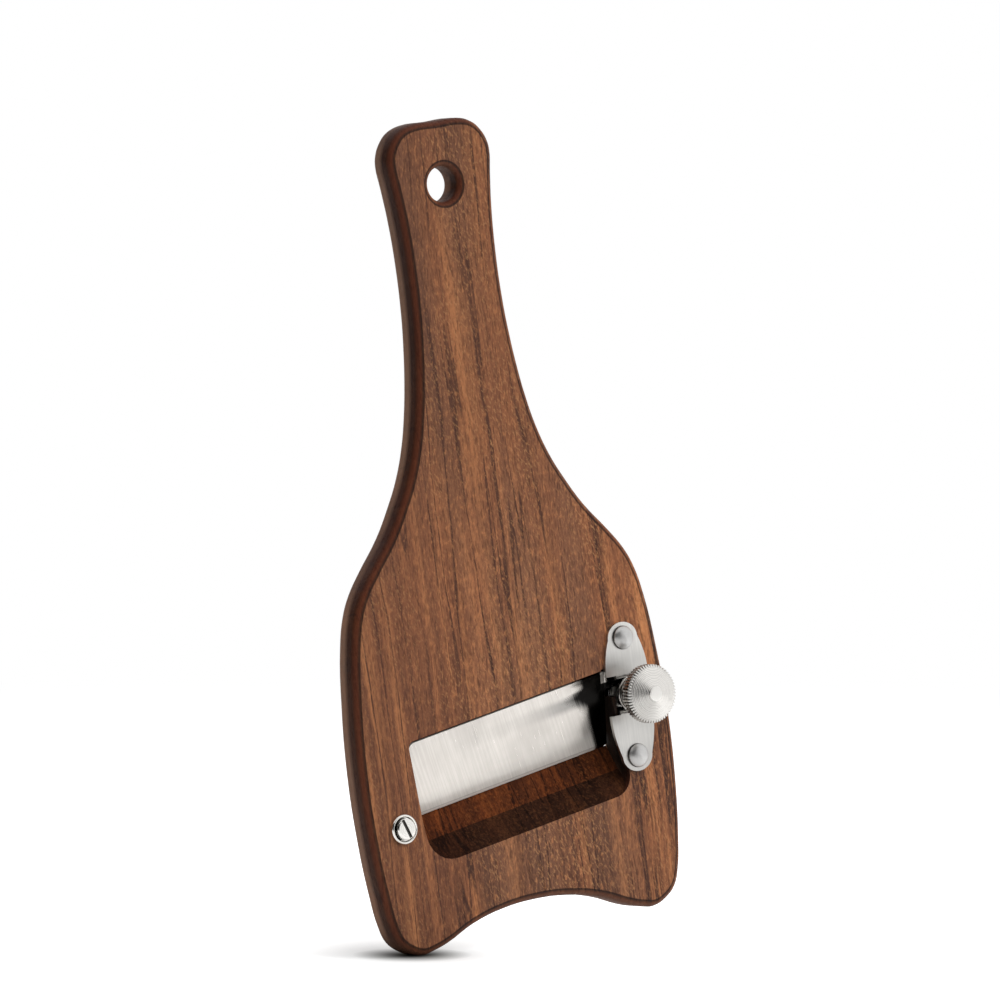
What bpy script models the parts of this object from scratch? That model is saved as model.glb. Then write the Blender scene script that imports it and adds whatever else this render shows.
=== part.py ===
"""Wooden truffle slicer: a hardwood paddle with a skewed throat, a clamped blade and an adjusting knob.

The paddle stands upright with its front face towards -Y and hangs from its hole, whose centre is the origin.
Lengths are in metres and angles in radians unless a name says degrees.
"""

from math import atan2, cos, pi, radians, sin, tan

import bmesh
import bpy
from mathutils import Vector

# Paddle
BOARD_LENGTH = 0.2098
BOARD_WIDTH = 0.0968
BOARD_THICKNESS = 0.0081
HANDLE_WIDTH = 0.0274
EDGE_ROUND = 0.0018
FACE_BORDER = 0.00025
FOOT_ARCH_RISE = 0.0083
# Rows run from the handle's end down to the foot: height over the length, half width over its own width.
HANDLE_HEIGHT_AND_WIDTH_SHARES = (
    (1.0, 0.0), (0.9998, 0.273), (0.9940, 0.409), (0.9818, 0.507), (0.9680, 0.562), (0.9552, 0.5785),
    (0.9285, 0.555), (0.8900, 0.522), (0.8330, 0.500), (0.7710, 0.507), (0.7280, 0.533),
    (0.6900, 0.569), (0.6520, 0.620),
)
BODY_HEIGHT_AND_WIDTH_SHARES = (
    (0.6135, 0.1963), (0.5755, 0.2273), (0.5420, 0.2665), (0.5085, 0.3135), (0.4705, 0.3833),
    (0.4465, 0.4225), (0.4228, 0.4483), (0.3847, 0.4700), (0.3180, 0.4886), (0.2320, 0.5000),
    (0.1465, 0.4954), (0.0797, 0.4814), (0.0415, 0.4669), (0.0205, 0.4483), (0.0072, 0.4143),
    (0.0005, 0.3740), (0.0030, 0.3380),
)
# Rows across the arch between the feet: place over the half width, height over the arch's rise.
ARCH_PLACE_AND_HEIGHT_SHARES = ((0.5900, 0.215), (0.4130, 0.640), (0.2070, 0.915), (0.0, 1.0))

# Hanging hole
HANG_HOLE_DROP = 0.0162
HANG_HOLE_RADIUS = 0.00453

# Throat: the window that the blade crosses, skewed on the paddle
THROAT_SKEW_DEGREES = 7.9
EDGE_BELOW_SPINDLE = 0.0177
CUTTING_EDGE_DEPTH = 0.0070
CLAMP_TO_THROAT = 0.0059
BRACKET_TO_THROAT = 0.0032
THROAT_LEFT_LEAN = 0.0014
THROAT_ABOVE_SPINDLE = 0.0079
THROAT_BELOW_EDGE = 0.0120
THROAT_TOP_CORNER = 0.0018
THROAT_LEFT_CORNER = 0.0078
THROAT_RIGHT_CORNER = 0.0055
RAMP_CREASE_BELOW_EDGE = 0.0062
RAMP_CREASE_DEPTH = 0.0050
RAMP_PAST_EDGE = 0.00012

# Blade
BLADE_TILT_DEGREES = 18.35
BLADE_THICKNESS = 0.0006
BLADE_BEVEL = 0.0009
BLADE_EDGE_LAND = 0.00008
BLADE_END_CORNER = 0.0012
BLADE_SMALL_CORNER = 0.0005
TAIL_LENGTH = 0.0085
TAIL_LOW = 0.0060
TAIL_HIGH = 0.0165
FINGER_WIDTH = 0.0009
FINGER_REACH = 0.0006
FINGER_CORNER = 0.0003
ARM_REACH = 0.0011
LIP_LENGTH = 0.0048
LIP_RADIUS = 0.0005
FINGER_ROOM = 0.0022
BLADE_PLAY_DEPTH = 0.00105

# Bracket
BRACKET_INSET = 0.0126
BRACKET_HEIGHT = 0.0552
BRACKET_LENGTH = 0.0389
BRACKET_WIDTH = 0.0132
BRACKET_THICKNESS = 0.0009
EAR_TIP_RADIUS = 0.0046
DIP_WIDTH = 0.0070
DIP_INSIDE = 0.0082
DIP_DEPTH = 0.0055
BEND_RADIUS = 0.0008
RIVET_SPACING = 0.0308
SPINDLE_OFFSET = 0.0008

# Rivets
RIVET_HEAD_RADIUS = 0.0031
RIVET_HEAD_HEIGHT = 0.0018
RIVET_SHANK_RADIUS = 0.0014
RIVET_TAIL_RADIUS = 0.0020
RIVET_TAIL_HEIGHT = 0.0005
RIVET_BURR_RADIUS = 0.0025
RIVET_BURR_THICKNESS = 0.0007

# Knob and spindle, heights measured in front of the paddle's face
KNOB_RADIUS = 0.0076
KNOB_TEETH = 56
KNOB_TOOTH_DEPTH = 0.0005
# Corners of one tooth: place over the tooth's pitch, depth over the tooth's depth.
TOOTH_PLACE_AND_DEPTH_SHARES = ((0.0, 0.0), (0.3, 0.0), (0.65, 1.0))
KNOB_FACE_HEIGHT = 0.0112
KNOB_CONE_RISE = 0.0014
KNOB_RIM_WIDTH = 0.0030
KNOB_RIM_CHAMFER = 0.0004
KNOB_HUB_RADIUS = 0.0045
KNOB_HUB_LENGTH = 0.0018
KNOB_HUB_FOOT = 0.0034
HUB_WASHER_RADIUS = 0.0048
HUB_WASHER_THICKNESS = 0.0006
SPINDLE_RADIUS = 0.00195
SPINDLE_TIP_RISE = 0.0004
SHOULDER_RADIUS = 0.0034
SHOULDER_DEPTH = 0.00125
NECK_RADIUS = 0.0024
GROOVE_WIDTH = 0.0016
RETAINING_RING_RADIUS = 0.0036
RETAINING_RING_THICKNESS = 0.0006
SPINDLE_END_DEPTH = 0.0069

# Clamp screw at the blade's left end
CLAMP_INSET = 0.0104
CLAMP_BELOW_EDGE = 0.0053
CLAMP_HEAD_RADIUS = 0.00275
CLAMP_HEAD_HEIGHT = 0.0009
CLAMP_HEAD_EDGE = 0.0002
CLAMP_HEAD_CROWN = 0.0001
CLAMP_SHANK_RADIUS = 0.0019
CUP_WASHER_RADIUS = 0.0039
CUP_WASHER_HEIGHT = 0.0009
CUP_WASHER_FLOOR = 0.0003
CUP_WASHER_LIP = 0.0003
CLAMP_SLOT_WIDTH = 0.0009
CLAMP_SLOT_DEPTH = 0.0006
CLAMP_SLOT_DEGREES = 21.0
CLAMP_WASHER_THICKNESS = 0.0006
CLAMP_NUT_FLATS = 0.0070
CLAMP_NUT_THICKNESS = 0.0018
NUT_SINK = 0.0003

# Clearances
SEAT_GAP = 0.0003
RUNNING_CLEARANCE = 0.0001
CUT_OVERRUN = 0.0010
MERGE_DISTANCE = 0.00001

# Fineness
ROUND_STEPS = 40
SMALL_ROUND_STEPS = 28
CORNER_STEPS = 6
SMOOTH_ANGLE_DEGREES = 32.0

FOOT_HEIGHT = HANG_HOLE_DROP - BOARD_LENGTH
HALF_THICKNESS = BOARD_THICKNESS / 2
THROAT_SKEW = radians(THROAT_SKEW_DEGREES)
BLADE_TILT = radians(BLADE_TILT_DEGREES)
BRACKET_RIGHT = BOARD_WIDTH / 2 - BRACKET_INSET
CLAMP_LEFT = BOARD_WIDTH / 2 - CLAMP_INSET
THROAT_LEFT = CLAMP_LEFT - CLAMP_TO_THROAT
THROAT_RIGHT = BRACKET_RIGHT - BRACKET_TO_THROAT
SPINDLE_HEIGHT = BRACKET_HEIGHT + SPINDLE_OFFSET
CUTTING_EDGE_HEIGHT = SPINDLE_HEIGHT - EDGE_BELOW_SPINDLE
CLAMP_HEIGHT = CUTTING_EDGE_HEIGHT - CLAMP_BELOW_EDGE
# The spindle's axis in the throat's leaning frame: along the cutting edge, then above it.
SPINDLE_ALONG = BRACKET_RIGHT * cos(THROAT_SKEW) + EDGE_BELOW_SPINDLE * sin(THROAT_SKEW)
SPINDLE_ABOVE = EDGE_BELOW_SPINDLE * cos(THROAT_SKEW) - BRACKET_RIGHT * sin(THROAT_SKEW)
THROAT_ABOVE_EDGE = SPINDLE_ABOVE + THROAT_ABOVE_SPINDLE
BLADE_WIDTH = (THROAT_ABOVE_EDGE - SEAT_GAP - BLADE_THICKNESS * sin(BLADE_TILT)) / cos(BLADE_TILT)
PIVOT_LEFT = THROAT_LEFT + TAIL_LENGTH / 2
PIVOT_ALONG_BLADE = (TAIL_LOW + TAIL_HIGH) / 2


class Finish:
    """A Principled material: its colour, roughness and metallic value."""

    def __init__(self, name, colour, roughness, metallic):
        self.material = bpy.data.materials.new(name)
        self.material.use_nodes = True
        shader = self.material.node_tree.nodes["Principled BSDF"]
        shader.inputs["Base Color"].default_value = (*colour, 1.0)
        shader.inputs["Roughness"].default_value = roughness
        shader.inputs["Metallic"].default_value = metallic
        self.material.diffuse_color = (*colour, 1.0)


def clear_scene():
    """Remove every object that the file starts with."""
    for item in list(bpy.data.objects):
        bpy.data.objects.remove(item, do_unlink=True)


def make_collection(name):
    collection = bpy.data.collections.new(name)
    bpy.context.scene.collection.children.link(collection)
    return collection


def make_empty(name, collection, parent=None, location=(0, 0, 0), rotation=(0, 0, 0)):
    empty = bpy.data.objects.new(name, None)
    collection.objects.link(empty)
    empty.parent = parent
    empty.location = location
    empty.rotation_euler = rotation
    return empty


def place(mesh, name, collection, parent, location=(0, 0, 0), rotation=(0, 0, 0), finish=None):
    """Put a mesh in the scene as a named object under a datum."""
    item = bpy.data.objects.new(name, mesh)
    collection.objects.link(item)
    item.parent = parent
    item.location = location
    item.rotation_euler = rotation
    if finish is None:
        item.hide_render = True
        item.display_type = "WIRE"
    else:
        mesh.materials.append(finish.material)
        mesh.shade_smooth()
        mesh.set_sharp_from_angle(angle=radians(SMOOTH_ANGLE_DEGREES))
    return item


def combine(item, other, operation):
    """Join, cut or intersect an item with another one by an exact Boolean."""
    boolean = item.modifiers.new(operation.lower() + "_" + other.name, "BOOLEAN")
    boolean.operation = operation
    boolean.solver = "EXACT"
    boolean.object = other


def curve_mesh(name, curve):
    """Turn a curve into a closed mesh and remove the curve."""
    item = bpy.data.objects.new(name, curve)
    bpy.context.scene.collection.objects.link(item)
    bpy.context.view_layer.update()
    depsgraph = bpy.context.evaluated_depsgraph_get()
    mesh = bpy.data.meshes.new_from_object(item.evaluated_get(depsgraph))
    bpy.data.objects.remove(item, do_unlink=True)
    bpy.data.curves.remove(curve)
    work = bmesh.new()
    work.from_mesh(mesh)
    bmesh.ops.remove_doubles(work, verts=work.verts, dist=MERGE_DISTANCE)
    bmesh.ops.recalc_face_normals(work, faces=work.faces)
    work.to_mesh(mesh)
    work.free()
    mesh.name = name
    return mesh


def flat_curve(name, thickness):
    curve = bpy.data.curves.new(name, "CURVE")
    curve.dimensions = "2D"
    curve.fill_mode = "BOTH"
    curve.extrude = thickness / 2
    return curve


def flat_mesh(name, points, thickness):
    """A closed outline of straight runs, filled and extruded either side of its plane."""
    curve = flat_curve(name, thickness)
    spline = curve.splines.new("POLY")
    spline.points.add(len(points) - 1)
    for target, (across, along) in zip(spline.points, points):
        target.co = (across, along, 0, 1)
    spline.use_cyclic_u = True
    return curve_mesh(name, curve)


def turned_mesh(name, profile, steps):
    """Turn a closed profile of (radius, height) about the height axis, outer side listed downwards."""
    work = bmesh.new()
    corners = [work.verts.new((radius, 0, height)) for radius, height in profile]
    for start, end in zip(corners, corners[1:] + corners[:1]):
        if start.co.x + end.co.x > 0:
            work.edges.new((start, end))
    mesh = bpy.data.meshes.new(name)
    work.to_mesh(mesh)
    work.free()
    item = bpy.data.objects.new(name, mesh)
    bpy.context.scene.collection.objects.link(item)
    screw = item.modifiers.new("turn", "SCREW")
    screw.axis = "Z"
    screw.angle = 2 * pi
    screw.steps = steps
    screw.render_steps = steps
    screw.use_merge_vertices = True
    screw.merge_threshold = MERGE_DISTANCE
    bpy.context.view_layer.update()
    depsgraph = bpy.context.evaluated_depsgraph_get()
    turned = bpy.data.meshes.new_from_object(item.evaluated_get(depsgraph))
    bpy.data.objects.remove(item, do_unlink=True)
    bpy.data.meshes.remove(mesh)
    turned.name = name
    return turned


def cylinder_mesh(name, radius, low, high, steps):
    return turned_mesh(name, [(0, high), (radius, high), (radius, low), (0, low)], steps)


def box_mesh(name, low, high):
    """A block between two opposite corners."""
    work = bmesh.new()
    bmesh.ops.create_cube(work, size=1)
    size = Vector(high) - Vector(low)
    bmesh.ops.scale(work, vec=size, verts=work.verts)
    bmesh.ops.translate(work, vec=(Vector(high) + Vector(low)) / 2, verts=work.verts)
    mesh = bpy.data.meshes.new(name)
    work.to_mesh(mesh)
    work.free()
    return mesh


def rounded_outline(corners):
    """Points of an outline whose corners (across, along, radius) are rounded by arcs."""
    points = []
    for index, (across, along, radius) in enumerate(corners):
        corner = Vector((across, along))
        before = (Vector(corners[index - 1][:2]) - corner).normalized()
        after = (Vector(corners[(index + 1) % len(corners)][:2]) - corner).normalized()
        if radius == 0:
            points.append(tuple(corner))
            continue
        half = before.angle(after) / 2
        centre = corner + (before + after).normalized() * (radius / sin(half))
        first = corner + before * (radius / tan(half)) - centre
        last = corner + after * (radius / tan(half)) - centre
        start = atan2(first.y, first.x)
        sweep = (atan2(last.y, last.x) - start + pi) % (2 * pi) - pi
        for step in range(CORNER_STEPS + 1):
            angle = start + sweep * step / CORNER_STEPS
            points.append((centre.x + radius * cos(angle), centre.y + radius * sin(angle)))
    return points


def dome_profile(radius, foot, rise):
    """Points down the outside of a dome, from its crown to its rim."""
    steps = CORNER_STEPS
    angles = [pi / 2 * step / steps for step in range(steps + 1)]
    return [(radius * sin(angle), foot + rise * cos(angle)) for angle in angles]


def paddle_outline():
    """Half outline of the paddle from the handle's end to the arch's crown, height above the feet."""
    rows = []
    for height_share, width_share in HANDLE_HEIGHT_AND_WIDTH_SHARES:
        rows.append((HANDLE_WIDTH * width_share, BOARD_LENGTH * height_share))
    for height_share, width_share in BODY_HEIGHT_AND_WIDTH_SHARES:
        rows.append((BOARD_WIDTH * width_share, BOARD_LENGTH * height_share))
    for place_share, height_share in ARCH_PLACE_AND_HEIGHT_SHARES:
        rows.append((BOARD_WIDTH / 2 * place_share, FOOT_ARCH_RISE * height_share))
    mirrored = [(-across, along) for across, along in reversed(rows[1:-1])]
    return rows + mirrored


def paddle_mesh():
    """The paddle's blank, with its outer edges rounded all round."""
    curve = flat_curve("paddle_blank", BOARD_THICKNESS - 2 * EDGE_ROUND)
    curve.bevel_depth = EDGE_ROUND
    curve.bevel_resolution = 2
    curve.offset = -EDGE_ROUND
    curve.resolution_u = 4
    spline = curve.splines.new("BEZIER")
    outline = paddle_outline()
    spline.bezier_points.add(len(outline) - 1)
    for target, (across, along) in zip(spline.bezier_points, outline):
        target.co = (across, along, 0)
        target.handle_left_type = "AUTO"
        target.handle_right_type = "AUTO"
    spline.use_cyclic_u = True
    mesh = curve_mesh("paddle_blank", curve)
    add_face_border(mesh)
    return mesh


def add_face_border(mesh):
    """Set a narrow border inside both faces, so that they shade flat beside the rounded edge."""
    work = bmesh.new()
    work.from_mesh(mesh)
    flat_height = HALF_THICKNESS - MERGE_DISTANCE
    flat = [face for face in work.faces if abs(face.calc_center_median().z) > flat_height]
    bmesh.ops.inset_region(work, faces=flat, thickness=FACE_BORDER, use_even_offset=True)
    work.to_mesh(mesh)
    work.free()


def hang_hole_mesh():
    """The hanging hole with both mouths rounded like the paddle's edges."""
    angles = [pi / 2 * step / CORNER_STEPS for step in range(CORNER_STEPS + 1)]
    mouth = HANG_HOLE_RADIUS + EDGE_ROUND
    flare = [(mouth - EDGE_ROUND * sin(angle), EDGE_ROUND * (1 - cos(angle))) for angle in angles]
    front = [(radius, -fall) for radius, fall in flare]
    back = [(radius, fall - BOARD_THICKNESS) for radius, fall in reversed(flare)]
    profile = [(0, CUT_OVERRUN), (mouth, CUT_OVERRUN), *front, *back]
    profile += [(mouth, -BOARD_THICKNESS - CUT_OVERRUN), (0, -BOARD_THICKNESS - CUT_OVERRUN)]
    return turned_mesh("hang_hole_cut", profile, ROUND_STEPS)


def throat_left(above_edge):
    """Where the throat's leaning left wall stands, at a height above the cutting edge."""
    return -THROAT_LEFT + THROAT_LEFT_LEAN * above_edge / THROAT_ABOVE_EDGE


def throat_window_mesh():
    """The throat's outline on the face, cut through the whole thickness."""
    below = -THROAT_BELOW_EDGE
    above = THROAT_ABOVE_EDGE
    corners = [
        (throat_left(above), above, THROAT_TOP_CORNER),
        (-THROAT_LEFT, 0, 0),
        (-THROAT_LEFT, below, THROAT_LEFT_CORNER),
        (THROAT_RIGHT, below, THROAT_RIGHT_CORNER),
        (THROAT_RIGHT, above, THROAT_TOP_CORNER),
    ]
    thickness = 2 * (BOARD_THICKNESS + CUT_OVERRUN)
    return flat_mesh("throat_window_cut", rounded_outline(corners), thickness)


def blade_back_depth(above_edge):
    """Depth of the blade's back below the paddle's face, at a height above the cutting edge."""
    return CUTTING_EDGE_DEPTH + BLADE_THICKNESS / cos(BLADE_TILT) - above_edge * tan(BLADE_TILT)


def throat_section_mesh():
    """Section across the throat: the bed under the blade, the mouth and the two ramps below it."""
    bed_drop = BLADE_PLAY_DEPTH + SEAT_GAP
    bed_top = -blade_back_depth(THROAT_ABOVE_EDGE) - bed_drop
    floor = -BOARD_THICKNESS
    bed_foot = (blade_back_depth(0) + bed_drop - BOARD_THICKNESS) / tan(BLADE_TILT)
    outside = THROAT_ABOVE_EDGE + CUT_OVERRUN
    ramp_slope = RAMP_CREASE_DEPTH / (THROAT_BELOW_EDGE - RAMP_CREASE_BELOW_EDGE)
    points = [
        (outside, CUT_OVERRUN),
        (outside, bed_top + CUT_OVERRUN * tan(BLADE_TILT)),
        (bed_foot, floor),
        (bed_foot, floor - CUT_OVERRUN),
        (RAMP_PAST_EDGE, floor - CUT_OVERRUN),
        (RAMP_PAST_EDGE, floor),
        (-RAMP_CREASE_BELOW_EDGE, -RAMP_CREASE_DEPTH),
        (-THROAT_BELOW_EDGE, 0),
        (-THROAT_BELOW_EDGE - CUT_OVERRUN / ramp_slope, CUT_OVERRUN),
    ]
    length = 2 * (max(THROAT_LEFT, THROAT_RIGHT) + CUT_OVERRUN)
    return flat_mesh("throat_section_cut", points, length)


def blade_points():
    """The blade's outline in its own plane, measured from the pivot: along the blade, then across it."""
    def left_side(across):
        return throat_left(across * cos(BLADE_TILT)) + SEAT_GAP + PIVOT_LEFT

    tail_end = -TAIL_LENGTH / 2
    right = THROAT_RIGHT - SEAT_GAP + PIVOT_LEFT
    finger_low = finger_bottom()
    finger_end = SPINDLE_ALONG + FINGER_REACH + PIVOT_LEFT
    small = BLADE_SMALL_CORNER
    corners = [
        (left_side(BLADE_WIDTH), BLADE_WIDTH, THROAT_TOP_CORNER),
        (left_side(TAIL_HIGH), TAIL_HIGH, 0),
        (tail_end, TAIL_HIGH, small),
        (tail_end, TAIL_LOW, small),
        (left_side(TAIL_LOW), TAIL_LOW, 0),
        (left_side(0), 0, small),
        (right, 0, BLADE_END_CORNER),
        (right, finger_low, 0),
        (finger_end, finger_low, FINGER_CORNER),
        (finger_end, finger_low + FINGER_WIDTH, FINGER_CORNER),
        (right + ARM_REACH, finger_low + FINGER_WIDTH, 0),
        (right + ARM_REACH, BLADE_WIDTH, small),
    ]
    return [(along, across - PIVOT_ALONG_BLADE) for along, across in rounded_outline(corners)]


def finger_bottom():
    """Lower side of the finger across the blade, just clear of the top of the spindle's neck."""
    return (SPINDLE_ABOVE + NECK_RADIUS + SEAT_GAP) / cos(BLADE_TILT)


def blade_mesh():
    """The blade's blank, as thick as the sheet, its front at zero."""
    mesh = flat_mesh("blade", blade_points(), BLADE_THICKNESS)
    for vertex in mesh.vertices:
        vertex.co.z -= BLADE_THICKNESS / 2
    return mesh


def blade_bevel_mesh():
    """The wedge that grinds the front of the cutting edge."""
    low = -PIVOT_ALONG_BLADE
    slope = (BLADE_THICKNESS - BLADE_EDGE_LAND) / BLADE_BEVEL
    points = [
        (low - CUT_OVERRUN, CUT_OVERRUN),
        (low - CUT_OVERRUN, -BLADE_THICKNESS + BLADE_EDGE_LAND - CUT_OVERRUN * slope),
        (low, -BLADE_THICKNESS + BLADE_EDGE_LAND),
        (low + BLADE_BEVEL + CUT_OVERRUN / slope, CUT_OVERRUN),
    ]
    length = 2 * (THROAT_LEFT + THROAT_RIGHT + TAIL_LENGTH)
    return flat_mesh("blade_bevel_cut", points, length)


def blade_lip_mesh():
    """The rolled lip that stiffens the blade's right end, as a round-ended bar along the blade's width."""
    top = BLADE_WIDTH - PIVOT_ALONG_BLADE - SEAT_GAP
    crown = dome_profile(LIP_RADIUS, top - LIP_RADIUS, LIP_RADIUS)
    base = [(radius, 2 * (top - LIP_LENGTH / 2) - height) for radius, height in reversed(crown)]
    return turned_mesh("blade_lip", crown + base, SMALL_ROUND_STEPS // 2)


def kerf_mesh():
    """The kerf in the throat's left wall that holds the blade's tail."""
    end = -TAIL_LENGTH / 2 - SEAT_GAP
    mouth = TAIL_LENGTH / 2 + THROAT_LEFT_LEAN + CUT_OVERRUN
    lower = TAIL_LOW - PIVOT_ALONG_BLADE - SEAT_GAP
    upper = TAIL_HIGH - PIVOT_ALONG_BLADE + SEAT_GAP
    return box_mesh("kerf_cut", (end, lower, -BLADE_THICKNESS - SEAT_GAP), (mouth, upper, SEAT_GAP))


def finger_relief_mesh():
    """The recess beside the throat that the blade's finger crosses on its way to the spindle."""
    relief_low = finger_bottom() * cos(BLADE_TILT) - FINGER_ROOM
    depth = blade_back_depth(relief_low) + BLADE_PLAY_DEPTH + 2 * SEAT_GAP
    low = (THROAT_RIGHT - CUT_OVERRUN, relief_low, -depth)
    high = (SPINDLE_ALONG, THROAT_ABOVE_EDGE + SEAT_GAP, CUT_OVERRUN)
    return box_mesh("finger_relief_cut", low, high)


def dip_pocket_mesh():
    """The pocket under the bracket's dip, centred on the spindle."""
    half_across = max(DIP_WIDTH / 2, RETAINING_RING_RADIUS) + SEAT_GAP
    half_up = DIP_INSIDE / 2 + BRACKET_THICKNESS + SEAT_GAP
    depth = DIP_DEPTH + BRACKET_THICKNESS + SEAT_GAP
    outline = [
        (-half_across, -half_up, BEND_RADIUS),
        (half_across, -half_up, BEND_RADIUS),
        (half_across, half_up, BEND_RADIUS),
        (-half_across, half_up, BEND_RADIUS),
    ]
    return flat_mesh("dip_pocket_cut", rounded_outline(outline), 2 * depth)


def ear_outline():
    """Plan of the bracket from its middle: two leaf-shaped ears joined by the narrow dipped strip."""
    half = BRACKET_WIDTH / 2
    rivet = RIVET_SPACING / 2
    tip = BRACKET_LENGTH / 2
    waist = DIP_INSIDE / 2 + BRACKET_THICKNESS + RUNNING_CLEARANCE
    waist_up = SPINDLE_OFFSET + waist
    waist_down = SPINDLE_OFFSET - waist
    strip = DIP_WIDTH / 2

    def ear_side(waist, side):
        """Right side of one ear, from its inner corner to its tip."""
        inner = abs(waist)
        points = [(strip, waist), (half, waist)]
        for step in range(1, CORNER_STEPS + 1):
            share = step / CORNER_STEPS
            width = half + (EAR_TIP_RADIUS - half) * share * share
            points.append((width, side * (inner + (rivet - inner) * share)))
        for step in range(1, 2 * CORNER_STEPS):
            angle = pi / 2 * step / (2 * CORNER_STEPS)
            points.append((EAR_TIP_RADIUS * cos(angle), side * (rivet + (tip - rivet) * sin(angle))))
        return points

    upper = ear_side(waist_up, 1)
    lower = ear_side(waist_down, -1)
    right = list(reversed(lower)) + upper
    left = [(-across, along) for across, along in reversed(right)]
    return right + [(0, tip)] + left + [(0, -tip)]


def bracket_section_mesh():
    """The bent sheet's section across the dip, as wide as the ears."""
    top = SEAT_GAP + BRACKET_THICKNESS
    floor = -DIP_DEPTH
    inside = DIP_INSIDE / 2
    end = BRACKET_LENGTH / 2 + CUT_OVERRUN + SPINDLE_OFFSET
    sheet = BRACKET_THICKNESS
    inner = BEND_RADIUS - sheet / 2
    outer = BEND_RADIUS
    corners = [
        (-end, top, 0),
        (-inside, top, outer),
        (-inside, floor, inner),
        (inside, floor, inner),
        (inside, top, outer),
        (end, top, 0),
        (end, top - sheet, 0),
        (inside + sheet, top - sheet, inner),
        (inside + sheet, floor - sheet, outer),
        (-inside - sheet, floor - sheet, outer),
        (-inside - sheet, top - sheet, inner),
        (-end, top - sheet, 0),
    ]
    return flat_mesh("bracket", rounded_outline(corners), BRACKET_WIDTH + 2 * CUT_OVERRUN)


def star_outline():
    """Outline of the knob's straight knurl: one tooth after another."""
    points = []
    for tooth in range(KNOB_TEETH):
        for place_share, depth_share in TOOTH_PLACE_AND_DEPTH_SHARES:
            angle = 2 * pi * (tooth + place_share) / KNOB_TEETH
            radius = KNOB_RADIUS - KNOB_TOOTH_DEPTH * depth_share
            points.append((radius * cos(angle), radius * sin(angle)))
    return points


def knob_mesh():
    """The knob turned about its bore: cone front, rim, tapered back and hub."""
    bore = SPINDLE_RADIUS + RUNNING_CLEARANCE
    rim = KNOB_RADIUS + RUNNING_CLEARANCE
    face = KNOB_FACE_HEIGHT
    back = face - KNOB_RIM_WIDTH
    profile = [
        (bore, face + KNOB_CONE_RISE),
        (rim - 2 * KNOB_RIM_CHAMFER, face),
        (rim, face - KNOB_RIM_CHAMFER),
        (rim, back + KNOB_RIM_CHAMFER),
        (rim - 2 * KNOB_RIM_CHAMFER, back),
        (KNOB_HUB_RADIUS, KNOB_HUB_FOOT + KNOB_HUB_LENGTH),
        (KNOB_HUB_RADIUS, KNOB_HUB_FOOT),
        (bore, KNOB_HUB_FOOT),
    ]
    return turned_mesh("knob_head", profile, KNOB_TEETH)


def spindle_mesh():
    """The spindle from its domed tip down: plain shank, shoulder, neck and threaded end."""
    tip = KNOB_FACE_HEIGHT + KNOB_CONE_RISE
    shoulder_top = KNOB_HUB_FOOT - 2 * SEAT_GAP - HUB_WASHER_THICKNESS
    neck_end = -SHOULDER_DEPTH - GROOVE_WIDTH - RETAINING_RING_THICKNESS
    profile = dome_profile(SPINDLE_RADIUS, tip, SPINDLE_TIP_RISE)
    profile += [
        (SPINDLE_RADIUS, shoulder_top),
        (SHOULDER_RADIUS, shoulder_top),
        (SHOULDER_RADIUS, -SHOULDER_DEPTH),
        (NECK_RADIUS, -SHOULDER_DEPTH),
        (NECK_RADIUS, neck_end),
        (SPINDLE_RADIUS, neck_end),
        (SPINDLE_RADIUS, -SPINDLE_END_DEPTH),
        (0, -SPINDLE_END_DEPTH),
    ]
    return turned_mesh("spindle", profile, ROUND_STEPS)


def ring_mesh(name, inner, outer, low, high, steps):
    return turned_mesh(name, [(outer, high), (outer, low), (inner, low), (inner, high)], steps)


def rivet_mesh():
    """A domed rivet: head on the ear, shank through the wood, clenched tail over its burr."""
    head_foot = 2 * SEAT_GAP + BRACKET_THICKNESS
    tail_top = -BOARD_THICKNESS + SEAT_GAP + RIVET_TAIL_HEIGHT
    profile = dome_profile(RIVET_HEAD_RADIUS, head_foot, RIVET_HEAD_HEIGHT)
    profile += [
        (RIVET_SHANK_RADIUS, head_foot),
        (RIVET_SHANK_RADIUS, tail_top),
        (RIVET_TAIL_RADIUS, tail_top),
        (RIVET_TAIL_RADIUS, tail_top - RIVET_TAIL_HEIGHT),
        (0, tail_top - RIVET_TAIL_HEIGHT),
    ]
    return turned_mesh("rivet", profile, SMALL_ROUND_STEPS)


def rivet_burr_low():
    return -BOARD_THICKNESS + 2 * SEAT_GAP + RIVET_TAIL_HEIGHT


def clamp_nut_low():
    return -BOARD_THICKNESS + NUT_SINK


def clamp_washer_low():
    return clamp_nut_low() + CLAMP_NUT_THICKNESS + SEAT_GAP


def clamp_head_foot():
    return 2 * SEAT_GAP + CUP_WASHER_FLOOR


def clamp_screw_mesh():
    """The slotted screw's body: a raised flat head on a shank that ends flush in the nut."""
    foot = clamp_head_foot()
    top = foot + CLAMP_HEAD_HEIGHT
    profile = dome_profile(CLAMP_HEAD_RADIUS - CLAMP_HEAD_EDGE, top, CLAMP_HEAD_CROWN)
    profile += [
        (CLAMP_HEAD_RADIUS, top - CLAMP_HEAD_EDGE),
        (CLAMP_HEAD_RADIUS, foot),
        (CLAMP_SHANK_RADIUS, foot),
        (CLAMP_SHANK_RADIUS, clamp_nut_low()),
        (0, clamp_nut_low()),
    ]
    return turned_mesh("clamp_screw", profile, SMALL_ROUND_STEPS)


def clamp_slot_mesh():
    half = CLAMP_SLOT_WIDTH / 2
    reach = CLAMP_HEAD_RADIUS + CUT_OVERRUN
    floor = clamp_head_foot() + CLAMP_HEAD_HEIGHT - CLAMP_SLOT_DEPTH
    above = floor + CLAMP_SLOT_DEPTH + CUT_OVERRUN
    return box_mesh("clamp_slot_cut", (-half, -reach, floor), (half, reach, above))


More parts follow.
